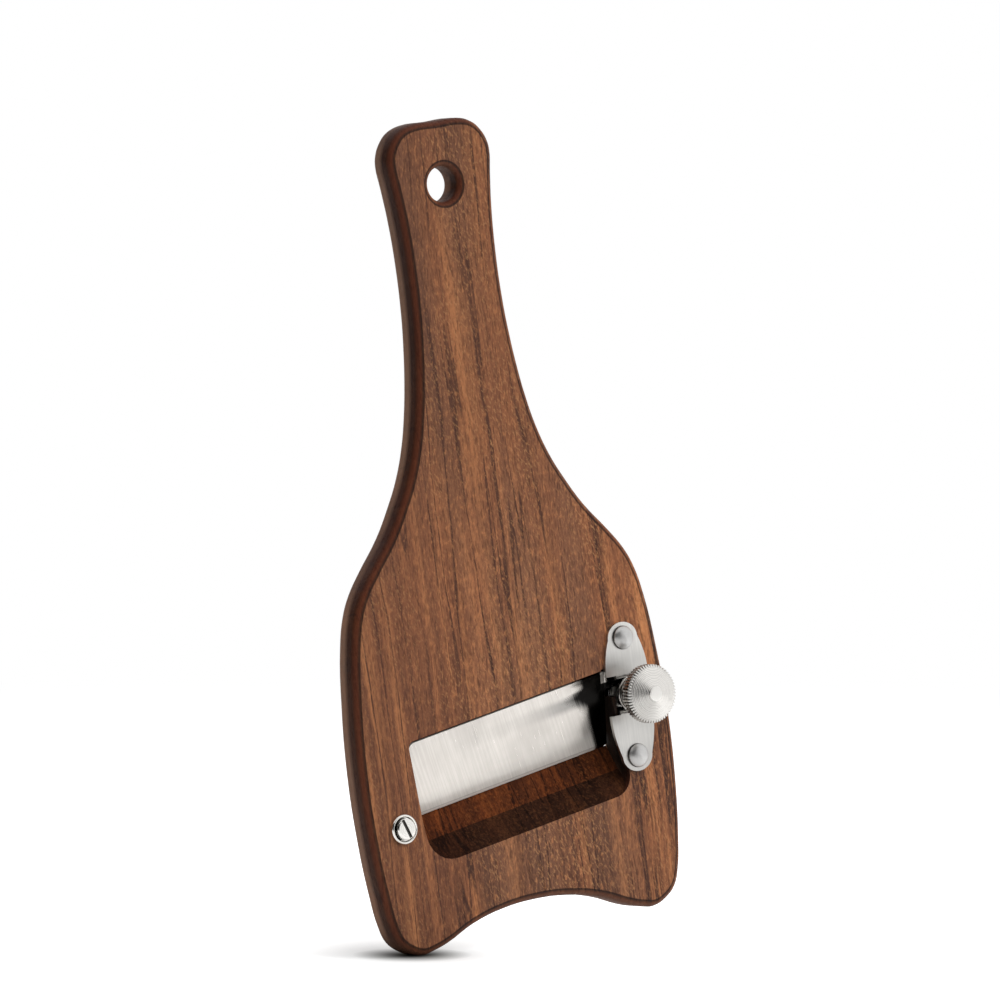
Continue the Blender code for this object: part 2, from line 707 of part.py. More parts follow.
def cup_washer_mesh():
    """The washer round the screw's head: a thin floor and a raised, rounded rim."""
    bore = CLAMP_SHANK_RADIUS + RUNNING_CLEARANCE
    recess = CLAMP_HEAD_RADIUS + SEAT_GAP
    top = SEAT_GAP + CUP_WASHER_HEIGHT
    rim = (CUP_WASHER_RADIUS + recess) / 2
    profile = [
        (rim, top),
        (CUP_WASHER_RADIUS, SEAT_GAP + CUP_WASHER_LIP),
        (CUP_WASHER_RADIUS, SEAT_GAP),
        (bore, SEAT_GAP),
        (bore, SEAT_GAP + CUP_WASHER_FLOOR),
        (recess, SEAT_GAP + CUP_WASHER_FLOOR),
        (recess, top - CUP_WASHER_LIP),
    ]
    return turned_mesh("cup_washer", profile, ROUND_STEPS)


def hexagon_mesh(name, flats, low, high):
    work = bmesh.new()
    corner = flats / 2 / cos(pi / 6)
    bmesh.ops.create_cone(work, cap_ends=True, segments=6, radius1=corner, radius2=corner, depth=high - low)
    bmesh.ops.translate(work, vec=(0, 0, (high + low) / 2), verts=work.verts)
    mesh = bpy.data.meshes.new(name)
    work.to_mesh(mesh)
    work.free()
    return mesh


class Slicer:
    """Collections, datums and finishes that the pieces share."""

    def __init__(self):
        self.parts = make_collection("truffle_slicer")
        self.cutters = make_collection("cutters")
        foot = (0, -HALF_THICKNESS, FOOT_HEIGHT)
        self.face = make_empty("face_datum", self.parts, None, foot, (pi / 2, 0, 0))
        edge = (0, CUTTING_EDGE_HEIGHT, 0)
        self.throat = make_empty("throat_datum", self.parts, self.face, edge, (0, 0, THROAT_SKEW))
        self.spindle_place = (BRACKET_RIGHT, SPINDLE_HEIGHT, 0)
        self.wood = Finish("oiled_hardwood", (0.155, 0.078, 0.045), 0.55, 0.0)
        self.blade_steel = Finish("brushed_blade_steel", (0.72, 0.71, 0.69), 0.25, 1.0)
        self.sheet_steel = Finish("satin_sheet_steel", (0.66, 0.65, 0.63), 0.35, 1.0)
        self.turned_steel = Finish("turned_steel", (0.70, 0.69, 0.67), 0.22, 1.0)
        self.dark_steel = Finish("plain_steel", (0.45, 0.44, 0.43), 0.40, 1.0)

    def cut_with(self, item, mesh, parent, location=(0, 0, 0), rotation=(0, 0, 0), operation="DIFFERENCE"):
        """Place a cutter under a datum and use it on an item."""
        cutter = place(mesh, mesh.name, self.cutters, parent, location, rotation)
        combine(item, cutter, operation)
        return cutter


def rivet_heights():
    """The two rivets' heights above the feet, by the name of their end."""
    return {
        "upper": BRACKET_HEIGHT + RIVET_SPACING / 2,
        "lower": BRACKET_HEIGHT - RIVET_SPACING / 2,
    }


def build_paddle(slicer):
    """The paddle with every hole, recess and ramp that its pieces need."""
    face = slicer.face
    paddle = place(
        paddle_mesh(), "paddle_board", slicer.parts, face, (0, 0, -HALF_THICKNESS), (0, 0, 0), slicer.wood
    )
    slicer.cut_with(paddle, hang_hole_mesh(), face, (0, -FOOT_HEIGHT, 0))

    window = place(throat_window_mesh(), "throat_window_cut", slicer.cutters, slicer.throat)
    section = throat_section_mesh()
    slicer.cut_with(window, section, slicer.throat, (0, 0, 0), (pi / 2, 0, pi / 2), "INTERSECT")
    combine(paddle, window, "DIFFERENCE")
    slicer.cut_with(paddle, kerf_mesh(), slicer.throat, blade_pivot(), (BLADE_TILT, 0, 0))
    slicer.cut_with(paddle, finger_relief_mesh(), slicer.throat)

    slicer.cut_with(paddle, dip_pocket_mesh(), face, slicer.spindle_place)
    spindle_hole = cylinder_mesh(
        "spindle_hole_cut", NECK_RADIUS, -BOARD_THICKNESS - CUT_OVERRUN, CUT_OVERRUN, SMALL_ROUND_STEPS
    )
    slicer.cut_with(paddle, spindle_hole, face, slicer.spindle_place)

    for end, height in rivet_heights().items():
        slicer.cut_with(paddle, rivet_hole_mesh(end), face, (BRACKET_RIGHT, height, 0))
    slicer.cut_with(paddle, clamp_hole_mesh(), face, (-CLAMP_LEFT, CLAMP_HEIGHT, 0))


def stepped_hole_mesh(name, radius, wide, step):
    """A hole through the paddle that widens towards the back from a given height."""
    below = -BOARD_THICKNESS - CUT_OVERRUN
    profile = [(0, CUT_OVERRUN), (radius, CUT_OVERRUN), (radius, step), (wide, step), (wide, below), (0, below)]
    return turned_mesh(name, profile, SMALL_ROUND_STEPS)


def rivet_hole_mesh(end):
    step = rivet_burr_low() + RIVET_BURR_THICKNESS + SEAT_GAP
    return stepped_hole_mesh(
        "rivet_hole_cut_" + end, RIVET_SHANK_RADIUS + SEAT_GAP, RIVET_BURR_RADIUS + SEAT_GAP, step
    )


def clamp_hole_mesh():
    step = clamp_washer_low() + CLAMP_WASHER_THICKNESS + SEAT_GAP
    corner = CLAMP_NUT_FLATS / 2 / cos(pi / 6)
    return stepped_hole_mesh("clamp_hole_cut", CLAMP_SHANK_RADIUS + SEAT_GAP, corner + SEAT_GAP, step)


def blade_pivot():
    """The blade's pivot in the throat's frame: the middle of the tail, on the blade's front."""
    above = PIVOT_ALONG_BLADE * cos(BLADE_TILT)
    front = PIVOT_ALONG_BLADE * sin(BLADE_TILT) - CUTTING_EDGE_DEPTH
    return (-PIVOT_LEFT, above, front)


def build_blade(slicer):
    """The blade, hung from the pivot in its tail."""
    blade = place(
        blade_mesh(), "blade", slicer.parts, slicer.throat, blade_pivot(), (BLADE_TILT, 0, 0),
        slicer.blade_steel,
    )
    slicer.cut_with(blade, blade_bevel_mesh(), blade, (0, 0, 0), (pi / 2, 0, pi / 2))
    lip_along = THROAT_RIGHT + PIVOT_LEFT - SEAT_GAP + ARM_REACH - LIP_RADIUS
    lip_place = (lip_along, 0, -BLADE_THICKNESS / 2)
    slicer.cut_with(blade, blade_lip_mesh(), blade, lip_place, (-pi / 2, 0, 0), "UNION")


def build_bracket(slicer):
    """The bracket, its section bent across the dip and trimmed to the ears' plan."""
    bracket = place(
        bracket_section_mesh(), "bracket", slicer.parts, slicer.face, slicer.spindle_place,
        (pi / 2, 0, pi / 2), slicer.sheet_steel,
    )
    middle = (BRACKET_RIGHT, BRACKET_HEIGHT, 0)
    plan = flat_mesh("bracket_plan_cut", ear_outline(), 2 * (BOARD_THICKNESS + CUT_OVERRUN))
    slicer.cut_with(bracket, plan, slicer.face, middle, (0, 0, 0), "INTERSECT")
    for end, height in rivet_heights().items():
        hole = cylinder_mesh(
            "ear_hole_cut_" + end, RIVET_SHANK_RADIUS + RUNNING_CLEARANCE, -CUT_OVERRUN,
            BRACKET_THICKNESS + CUT_OVERRUN, SMALL_ROUND_STEPS,
        )
        slicer.cut_with(bracket, hole, slicer.face, (BRACKET_RIGHT, height, 0))
    tapped = cylinder_mesh(
        "tapped_hole_cut", SPINDLE_RADIUS + RUNNING_CLEARANCE,
        -DIP_DEPTH - BRACKET_THICKNESS - CUT_OVERRUN, -DIP_DEPTH + CUT_OVERRUN, SMALL_ROUND_STEPS,
    )
    slicer.cut_with(bracket, tapped, slicer.face, slicer.spindle_place)


def build_rivets(slicer):
    """Both rivets and their burrs."""
    parts, face = slicer.parts, slicer.face
    for end, height in rivet_heights().items():
        location = (BRACKET_RIGHT, height, 0)
        name = "rivet_" + end
        place(rivet_mesh(), name, parts, face, location, (0, 0, 0), slicer.turned_steel)
        burr = ring_mesh(
            "rivet_burr", RIVET_SHANK_RADIUS + RUNNING_CLEARANCE, RIVET_BURR_RADIUS, rivet_burr_low(),
            rivet_burr_low() + RIVET_BURR_THICKNESS, SMALL_ROUND_STEPS,
        )
        place(burr, "rivet_burr_" + end, parts, face, location, (0, 0, 0), slicer.dark_steel)


def build_knob(slicer):
    """The knob with its spindle, the washer under its hub and the ring on its neck."""
    parts, face, axis = slicer.parts, slicer.face, slicer.spindle_place
    knob = place(knob_mesh(), "knob_head", parts, face, axis, (0, 0, 0), slicer.turned_steel)
    reach = 2 * (KNOB_FACE_HEIGHT + KNOB_CONE_RISE + CUT_OVERRUN)
    slicer.cut_with(knob, flat_mesh("knurl_cut", star_outline(), reach), face, axis, (0, 0, 0), "INTERSECT")
    place(spindle_mesh(), "spindle", parts, face, axis, (0, 0, 0), slicer.turned_steel)

    washer_high = KNOB_HUB_FOOT - SEAT_GAP
    washer = ring_mesh(
        "hub_washer", SPINDLE_RADIUS + RUNNING_CLEARANCE, HUB_WASHER_RADIUS,
        washer_high - HUB_WASHER_THICKNESS, washer_high, ROUND_STEPS,
    )
    place(washer, "hub_washer", parts, face, axis, (0, 0, 0), slicer.turned_steel)

    ring_high = -SHOULDER_DEPTH - GROOVE_WIDTH
    ring = ring_mesh(
        "retaining_ring", NECK_RADIUS + RUNNING_CLEARANCE, RETAINING_RING_RADIUS,
        ring_high - RETAINING_RING_THICKNESS, ring_high, ROUND_STEPS,
    )
    place(ring, "retaining_ring", parts, face, axis, (0, 0, 0), slicer.turned_steel)


def build_clamp(slicer):
    """The slotted clamp screw with its cup washer in front and its washer and nut let into the back."""
    parts, face = slicer.parts, slicer.face
    location = (-CLAMP_LEFT, CLAMP_HEIGHT, 0)
    screw = place(clamp_screw_mesh(), "clamp_screw", parts, face, location, (0, 0, 0), slicer.turned_steel)
    slicer.cut_with(screw, clamp_slot_mesh(), face, location, (0, 0, radians(CLAMP_SLOT_DEGREES)))
    place(cup_washer_mesh(), "cup_washer", parts, face, location, (0, 0, 0), slicer.turned_steel)

    bore = CLAMP_SHANK_RADIUS + RUNNING_CLEARANCE
    low = clamp_washer_low()
    washer = ring_mesh(
        "clamp_washer", bore, CLAMP_NUT_FLATS / 2, low, low + CLAMP_WASHER_THICKNESS, SMALL_ROUND_STEPS
    )
    place(washer, "clamp_washer", parts, face, location, (0, 0, 0), slicer.dark_steel)
    nut_low = clamp_nut_low()
    nut_high = nut_low + CLAMP_NUT_THICKNESS
    blank = hexagon_mesh("clamp_nut", CLAMP_NUT_FLATS, nut_low, nut_high)
    nut = place(blank, "clamp_nut", parts, face, location, (0, 0, 0), slicer.dark_steel)
    thread = cylinder_mesh(
        "nut_bore_cut", bore, nut_low - CUT_OVERRUN, nut_high + CUT_OVERRUN, SMALL_ROUND_STEPS
    )
    slicer.cut_with(nut, thread, face, location)


def main():
    clear_scene()
    slicer = Slicer()
    build_paddle(slicer)
    build_blade(slicer)
    build_bracket(slicer)
    build_rivets(slicer)
    build_knob(slicer)
    build_clamp(slicer)


main()
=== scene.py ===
"""Truffle slicer: an oiled hardwood paddle, a blade clamped across its throat, and the knob that sets the slice.

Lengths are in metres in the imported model's frame: +Z runs up the paddle, its front face looks along -Y,
and the knob stands on the right. Turned pieces take their heights out of the front face.
"""

import logging
from dataclasses import dataclass, field, replace
from enum import Enum
from math import cos, pi, radians, sin

import bmesh
import bpy
from mathutils import Matrix, Vector


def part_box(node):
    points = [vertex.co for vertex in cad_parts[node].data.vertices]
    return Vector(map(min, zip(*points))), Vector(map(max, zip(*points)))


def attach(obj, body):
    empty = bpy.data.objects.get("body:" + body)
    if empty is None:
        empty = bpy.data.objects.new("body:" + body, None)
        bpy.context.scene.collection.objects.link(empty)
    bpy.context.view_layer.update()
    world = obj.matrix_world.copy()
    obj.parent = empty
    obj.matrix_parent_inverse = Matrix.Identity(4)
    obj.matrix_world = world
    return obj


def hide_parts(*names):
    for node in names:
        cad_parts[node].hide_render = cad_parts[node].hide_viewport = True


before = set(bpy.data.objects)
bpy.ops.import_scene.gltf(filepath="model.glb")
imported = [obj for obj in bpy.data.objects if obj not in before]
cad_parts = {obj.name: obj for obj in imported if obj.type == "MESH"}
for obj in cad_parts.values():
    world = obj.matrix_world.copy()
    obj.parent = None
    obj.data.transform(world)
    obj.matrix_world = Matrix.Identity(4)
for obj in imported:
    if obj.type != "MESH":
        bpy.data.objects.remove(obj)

log = logging.getLogger("truffle_slicer")

Colour = tuple[float, float, float, float]
Profile = list[tuple[float, float]]
Triple = tuple[float, float, float]
Socket = bpy.types.NodeSocket
Mesh = bmesh.types.BMesh
Object = bpy.types.Object
Span = tuple[float, float]  # where a mask is 0, then where it is 1
Window = tuple[float, float, float, float]  # where a mask starts, is first 1, is last 1 and ends

FRONT_FACE = -0.00405  # Y of the paddle's front face; the back face lies as far behind
SHARP_ANGLE = radians(32)  # an edge that turns further than this stays sharp
MERGE_DISTANCE = 0.000001
EDGE_LEAN = radians(7.9)  # how far the cutting edge leans up to the right
EDGE_LINE = -0.1553  # height of the cutting edge's line where the paddle's middle crosses it
SEAT = 0.00028  # how far a fixed piece is let down onto what it sits on: most of the solids' gap
WHITE = (1.0, 1.0, 1.0, 1.0)


class Body(Enum):
    """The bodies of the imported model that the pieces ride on."""

    PADDLE = "paddle"
    CARRIAGE = "carriage"
    KNOB = "knob"
    BLADE = "blade"


class Slot(Enum):
    """The record's material slots."""

    WOOD = "wood"
    BLADE_STEEL = "blade_steel"
    SHEET_STEEL = "sheet_steel"
    TURNED_STEEL = "turned_steel"
    PLAIN_STEEL = "plain_steel"


class Brushing(Enum):
    """Which way the brushed lines run, as a turn of the pattern about the face's normal in degrees."""

    ACROSS_BLADE = 24.0
    UP_THE_SHEET = 0.0


def tone(red: float, green: float, blue: float) -> Colour:
    """Turns a colour as a screen shows it, 0 to 255, into the shader's linear one.

    Args:
        red: Red on screen.
        green: Green on screen.
        blue: Blue on screen.

    Returns:
        The linear colour with full opacity.
    """
    shares = [channel / 255 for channel in (red, green, blue)]
    linear = [share / 12.92 if share <= 0.04045 else ((share + 0.055) / 1.055) ** 2.4 for share in shares]
    return (linear[0], linear[1], linear[2], 1.0)


class Value:
    """A number in a material. Python's operators on it add the Math nodes."""

    def __init__(self, graph: "Graph", socket: Socket) -> None:
        """Wraps a node's output socket."""
        self.graph = graph
        self.socket = socket

    def _math(self, operation: str, *numbers: "Value | float") -> "Value":
        """Adds a Math node over these numbers."""
        node = self.graph.node("Math", {"operation": operation}, dict(enumerate(numbers)))
        return Value(self.graph, node.outputs[0])

    def __add__(self, other: "Value | float") -> "Value":
        """Sum."""
        return self._math("ADD", self, other)

    def __radd__(self, other: "Value | float") -> "Value":
        """Sum with a plain number first."""
        return self._math("ADD", other, self)

    def __sub__(self, other: "Value | float") -> "Value":
        """Difference."""
        return self._math("SUBTRACT", self, other)

    def __rsub__(self, other: "Value | float") -> "Value":
        """Difference with a plain number first."""
        return self._math("SUBTRACT", other, self)

    def __mul__(self, other: "Value | float") -> "Value":
        """Product."""
        return self._math("MULTIPLY", self, other)

    def __rmul__(self, other: "Value | float") -> "Value":
        """Product with a plain number first."""
        return self._math("MULTIPLY", other, self)

    def __truediv__(self, other: "Value | float") -> "Value":
        """Quotient."""
        return self._math("DIVIDE", self, other)

    def __abs__(self) -> "Value":
        """Distance from zero."""
        return self._math("ABSOLUTE", self)

    def larger(self, other: "Value | float") -> "Value":
        """The larger of two numbers."""
        return self._math("MAXIMUM", self, other)

    def sine(self) -> "Value":
        """Its sine."""
        return self._math("SINE", self)

    def rise(self, low: float, high: float) -> "Value":
        """A mask that climbs smoothly from 0 at low to 1 at high, or falls where low is above high."""
        first, last = (0.0, 1.0) if low < high else (1.0, 0.0)
        node = self.graph.node(
            "MapRange",
            {"interpolation_type": "SMOOTHSTEP"},
            {"Value": self, "From Min": min(low, high), "From Max": max(low, high), "To Min": first, "To Max": last},
        )
        return Value(self.graph, node.outputs["Result"])

    def within(self, start: float, full: float, last: float, end: float) -> "Value":
        """A mask that is 1 from full to last, and falls smoothly to 0 at start and at end."""
        return self.rise(start, full) * self.rise(end, last)


@dataclass(frozen=True)
class Pattern:
    """One cloudy noise, about 0.5 on average.

    Attributes:
        scale: Features per metre along each axis, after the turn.
        detail: How many finer layers it has.
        rough: How strong those are.
        turn: Turn about the Y axis in degrees.
        shift: Point that becomes its origin.
    """

    scale: Triple
    detail: float = 2.0
    rough: float = 0.5
    turn: float = 0.0
    shift: Triple = (0.0, 0.0, 0.0)


class Graph:
    """The nodes of one material or world, in Object coordinates."""

    def __init__(self, owner: bpy.types.Material | bpy.types.World) -> None:
        """Starts with the owner's nodes cleared."""
        self.owner = owner
        owner.use_nodes = True
        self.tree = owner.node_tree
        self.tree.nodes.clear()

    def node(self, kind: str, settings: dict | None = None, sockets: dict | None = None) -> bpy.types.Node:
        """Adds a node.

        Args:
            kind: The node's type name, without its first word ShaderNode.
            settings: Properties to set first; "stops" fills a colour ramp.
            sockets: Values, or outputs to link, by the input's name or place.

        Returns:
            The new node.
        """
        node = self.tree.nodes.new("ShaderNode" + kind)
        for key, setting in (settings or {}).items():
            if key == "stops":
                ramp = node.color_ramp
                while len(ramp.elements) < len(setting):
                    ramp.elements.new(0.5)
                for element, (place, colour) in zip(ramp.elements, setting):
                    element.position = place
                    element.color = colour
            else:
                setattr(node, key, setting)
        for key, given in (sockets or {}).items():
            source = given.socket if isinstance(given, Value) else given
            if isinstance(source, Socket):
                self.tree.links.new(source, node.inputs[key])
            else:
                node.inputs[key].default_value = source
        return node

    def place(self) -> Socket:
        """Where a point of the surface is, in the object's own metres."""
        return self.node("TexCoord").outputs["Object"]

    def facing(self) -> Socket:
        """The surface's own direction."""
        return self.node("TexCoord").outputs["Normal"]

    def parts(self, vector: Socket) -> tuple[Value, ...]:
        """A vector's three axes."""
        return tuple(Value(self, axis) for axis in self.node("SeparateXYZ", None, {0: vector}).outputs)

    def length(self, vector: Socket) -> Value:
        """How long a vector is."""
        node = self.node("VectorMath", {"operation": "LENGTH"}, {0: vector})
        return Value(self, node.outputs["Value"])

    def mapped(self, vector: Socket, pattern: Pattern) -> Socket:
        """Shifts, turns and scales coordinates.

        Args:
            vector: The coordinates in metres.
            pattern: The pattern that says how.

        Returns:
            The changed coordinates.
        """
        moved = self.node("VectorMath", {"operation": "SUBTRACT"}, {0: vector, 1: pattern.shift})
        turn = (0.0, radians(pattern.turn), 0.0)
        turned = self.node("Mapping", None, {"Vector": moved.outputs[0], "Rotation": turn})
        scaled = self.node("VectorMath", {"operation": "MULTIPLY"}, {0: turned.outputs[0], 1: pattern.scale})
        return scaled.outputs[0]

    def noise(self, vector: Socket, pattern: Pattern) -> Value:
        """Cloudy noise over coordinates in metres."""
        where = self.mapped(vector, pattern)
        node = self.node(
            "TexNoise", {"noise_dimensions": "3D"},
            {"Vector": where, "Scale": 1.0, "Detail": pattern.detail, "Roughness": pattern.rough},
        )
        return Value(self, node.outputs[0])

    def line_noise(self, along: Value, detail: float, rough: float) -> Value:
        """Noise that changes along one number only, for rings."""
        node = self.node(
            "TexNoise", {"noise_dimensions": "1D"},
            {"W": along, "Scale": 1.0, "Detail": detail, "Roughness": rough},
        )
        return Value(self, node.outputs[0])

    def blend(self, factor: Value | float, under: Colour | Socket, over: Colour | Socket, kind: str = "MIX") -> Socket:
        """Lays one colour over another.

        Args:
            factor: How much of the upper colour shows.
            under: The lower colour.
            over: The upper colour.
            kind: How they are combined.

        Returns:
            The combined colour.
        """
        node = self.node(
            "Mix", {"data_type": "RGBA", "blend_type": kind, "clamp_result": True},
            {0: factor, 6: under, 7: over},
        )
        return node.outputs[2]

    def layers(self, colour: Colour | Socket, *coats: tuple[Value | float, Colour | Socket]) -> Socket:
        """Lays several colours over one, the last on top.

        Args:
            colour: The lowest colour.
            coats: For each upper colour, how much of it shows, and the colour.

        Returns:
            The combined colour.
        """
        for factor, over in coats:
            colour = self.blend(factor, colour, over)
        return colour

    def bump(self, height: Value, distance: float, strength: float, under: Socket | None = None) -> Socket:
        """Turns a height of 0 to 1 into a relief so many metres deep."""
        sockets = {"Height": height, "Distance": distance, "Strength": strength}
        if under is not None:
            sockets["Normal"] = under
        return self.node("Bump", None, sockets).outputs[0]

    def end(self, shader: bpy.types.Node, output: str = "OutputMaterial") -> bpy.types.ID:
        """Links the last shader to the output, and gives back the nodes' owner."""
        self.node(output, None, {"Surface": shader.outputs[0]})
        return self.owner

    def surface(self, sockets: dict) -> bpy.types.Material:
        """Ends the material in one Principled shader with these sockets."""
        return self.end(self.node("BsdfPrincipled", None, sockets))


@dataclass(frozen=True)
class WalnutFinish:
    """Oiled dark hardwood with upright streaks, fibres, pores and short golden flecks.

    Attributes:
        name: The material's name.
        shade: What the wood's colour is multiplied with: painted shade for the ramps down in the throat, over the
            darker tone of their cut.
        gloss_roughness, gloss: Roughness of the oiled faces, and how much they mirror.
        rounded: Whether the sides and roundings get their painted light and shade.
        light, middle, dark, grey: The palest and the usual wood, the darker stripes, the greyer zones.
        streak, fleck: The dark streaks and pores, and the golden flecks.
        painted_front_shade_line, red_round, side, painted_back_sheen: Painted shade and light on the sides, from a
        dark line at the front face to a sheen on their pale back half.
        painted_topside_shade, underside: Painted shade on the edges that look up, and the painted lighter tone of
            those that look down.
        hollow: Painted shade on the walls beside the blade's end and under the bracket.
        stripe_levels: Levels of the stripes' noise where the wood is dark, usual and light.
        sway, ripple: The grain's long and short bends.
        bands, stripes, clouds: Its broad and narrow stripes, and the greyer zones.
        thin_lines, fade: Noise whose middle level draws the thin streaks, and where these come and go.
        broad_lines: Noise whose middle level draws the broad faint streaks.
        fibres, figures, pore_dots: The fine fibres, the short slanting figure and the pores.
        glows, glow_areas: The flecks, and where they are thick.
        calm: Heights over which the stripes grow fainter, up the handle.
        left_dusk, top_dusk: Places across and heights over which the wood darkens to the left and upwards.
        foot_dusk: Places across, then heights, over which it darkens at the right foot.
        hollow_across, hollow_up, hollow_front: Where the painted shade of the hollow lies across, up and from the
            back.
        face_edge: Depths over which it starts behind the front face.
        hub_across, hub_height, hub_reach: The painted shade behind the hub on the front face: from where across, about
            which height, and the distances over which it ends.
    """

    name: str
    shade: Colour = WHITE
    gloss_roughness: float = 0.52
    gloss: float = 0.18
    rounded: bool = True
    light: Colour = tone(194, 129, 83)
    middle: Colour = tone(138, 88, 60)
    dark: Colour = tone(82, 52, 40)
    grey: Colour = tone(104, 74, 58)
    streak: Colour = tone(46, 31, 28)
    fleck: Colour = tone(190, 138, 92)
    # Painted light and shade for the sides and edges, by the way they face, down to the underside's tone.
    painted_front_shade_line: Colour = tone(26, 12, 9)
    red_round: Colour = tone(100, 50, 32)
    side: Colour = tone(60, 28, 15)
    painted_back_sheen: Colour = tone(186, 146, 121)
    painted_topside_shade: Colour = tone(72, 34, 24)
    underside: Colour = tone(120, 80, 59)
    # Painted shade, near black, for the hollow beside the blade's end and under the bracket.
    hollow: Colour = tone(9, 7, 6)
    stripe_levels: Triple = (0.36, 0.49, 0.62)
    sway: Pattern = Pattern((24, 24, 9), 1.5)
    ripple: Pattern = Pattern((90, 90, 40))
    bands: Pattern = Pattern((110, 24, 6))
    stripes: Pattern = Pattern((350, 80, 16), 4, 0.62, shift=(0.2, 0.3, 0.1))
    clouds: Pattern = Pattern((60, 30, 6), shift=(0.5, 0.2, 0.4))
    thin_lines: Pattern = Pattern((210, 26, 6), 2.5)
    fade: Pattern = Pattern((90, 90, 26), 1, shift=(0.3, 0.1, 0.2))
    broad_lines: Pattern = Pattern((150, 24, 4), 1.5, shift=(0.7, 0.1, 0.6))
    fibres: Pattern = Pattern((2300, 1500, 130), 2, 0.6)
    figures: Pattern = Pattern((1250, 1250, 420), 3, 0.7, -9)
    glows: Pattern = Pattern((1700, 1700, 700), 2.5, 0.6, 24)
    glow_areas: Pattern = Pattern((85, 45, 22), shift=(0.1, 0.4, 0.2))
    pore_dots: Pattern = Pattern((2600, 2600, 420), 1.5, shift=(0.4, 0.2, 0.1))
    calm: Span = (-0.138, -0.092)
    left_dusk: Span = (-0.002, -0.044)
    top_dusk: Span = (-0.110, -0.045)
    foot_dusk: tuple[Span, Span] = ((0.010, 0.040), (-0.160, -0.180))
    hollow_across: Window = (0.0270, 0.0285, 0.0415, 0.0430)
    hollow_up: Window = (-0.1660, -0.1540, -0.1260, -0.1240)
    hollow_front: Span = (0.0039, 0.0034)
    face_edge: Span = (-0.0038, -0.0034)
    hub_across: Span = (0.0286, 0.0296)
    hub_height: float = -0.1376
    hub_reach: Span = (0.0085, 0.0075)

    def material(self) -> bpy.types.Material:
        """Builds the wood."""
        graph = Graph(bpy.data.materials.new(self.name))
        place = graph.place()
        across, _, up = graph.parts(place)
        bend = (graph.noise(place, self.sway) - 0.5) * 0.007 + (graph.noise(place, self.ripple) - 0.5) * 0.0016
        push = graph.node("CombineXYZ", None, {"X": bend})
        grain = graph.node("VectorMath", {"operation": "ADD"}, {0: place, 1: push.outputs[0]}).outputs[0]

        calm = up.rise(*self.calm) * 0.56
        usual = self.stripe_levels[1]
        stripes = graph.noise(grain, self.bands) * 0.40 + graph.noise(grain, self.stripes) * 0.60
        ramp = graph.node(
            "ValToRGB", {"stops": list(zip(self.stripe_levels, (self.dark, self.middle, self.light)))},
            {0: (stripes - usual) * (1 - calm) + usual},
        )
        clouds = graph.noise(grain, self.clouds).rise(0.44, 0.64)
        broad = abs(graph.noise(grain, self.broad_lines) - 0.5).rise(0.055, 0.0)
        thin = abs(graph.noise(grain, self.thin_lines) - 0.5).rise(0.026, 0.004)
        thin = thin * graph.noise(place, self.fade).rise(0.34, 0.52)
        fibre = graph.noise(grain, self.fibres)
        figure = graph.noise(grain, self.figures)
        thick = 0.30 + graph.noise(grain, self.glow_areas).rise(0.40, 0.62) * 0.70
        flecks = graph.noise(place, self.glows).rise(0.50, 0.68) * thick
        pores = graph.noise(grain, self.pore_dots).rise(0.52, 0.70)
        foot_across, foot_up = self.foot_dusk
        dusk = across.rise(*self.left_dusk) * 0.44 + up.rise(*self.top_dusk) * 0.26
        dusk = dusk + across.rise(*foot_across) * up.rise(*foot_up) * 0.26
        colour = graph.layers(
            ramp.outputs[0],
            (clouds * 0.7, self.grey),
            (broad * 0.38 * (1 - calm * 0.8), self.streak),
            (thin * 0.92 * (1 - calm * 0.2), self.streak),
            (fibre.rise(0.50, 0.34) * 0.42, self.dark),
            (figure.rise(0.50, 0.34) * 0.40, self.dark),
            (figure.rise(0.52, 0.68) * 0.42, self.light),
            (flecks * 0.46, self.fleck),
            (pores * 0.42, self.streak),
            (dusk, self.dark),
        )
        if self.rounded:
            colour = self.with_edges(graph, colour)
        # Multiplies in the ramps' painted shade; white leaves the board's own wood as it is.
        colour = graph.blend(1.0, colour, self.shade, "MULTIPLY")

        relief = graph.bump(fibre + figure * 0.8 + flecks * 0.4 - pores * 1.2, 0.00004, 0.7)
        relief = graph.bump(1 - thin, 0.00003, 0.5, relief)
        rough = self.gloss_roughness + fibre * 0.12 + pores * 0.2 - flecks * 0.08
        return graph.surface(
            {"Base Color": colour, "Roughness": rough, "Normal": relief, "Specular IOR Level": self.gloss}
        )

    def with_edges(self, graph: Graph, colour: Socket) -> Socket:
        """Paints light and shade onto the sides and the roundings by the way they face, and paints shade into the
        hollow beside the blade's end.

        Args:
            graph: The material's nodes.
            colour: The wood of the faces.

        Returns:
            The wood with its edges.
        """
        rightward, outward, upward = graph.parts(graph.facing())
        across, depth, up = graph.parts(graph.place())
        # Painted light and shade across the sides: a dark line at the front arris, the side's shaded tones, and a
        # sheen on the back half.
        rounding = [
            (0.006, self.painted_front_shade_line), (0.012, self.painted_front_shade_line), (0.035, self.red_round), (0.10, self.red_round),
            (0.22, self.side), (0.42, self.side), (0.62, self.painted_back_sheen),
        ]
        behind_face = (depth - FRONT_FACE) * (-0.5 / FRONT_FACE)
        tones = graph.layers(
            graph.node("ValToRGB", {"stops": rounding}, {0: behind_face}).outputs[0],
            # Painted shade on edges that look up, a painted lighter tone on those that look down; edges facing right
            # keep the face's colour.
            (upward.rise(0.3, 0.8) * 0.75, self.painted_topside_shade),
            (upward.rise(-0.2, -0.7) * 0.85, self.underside),
            (rightward.rise(0.20, 0.5) * 0.95, colour),
        )
        grained = graph.blend(0.45, tones, graph.blend(0.85, colour, tones, "MULTIPLY"))
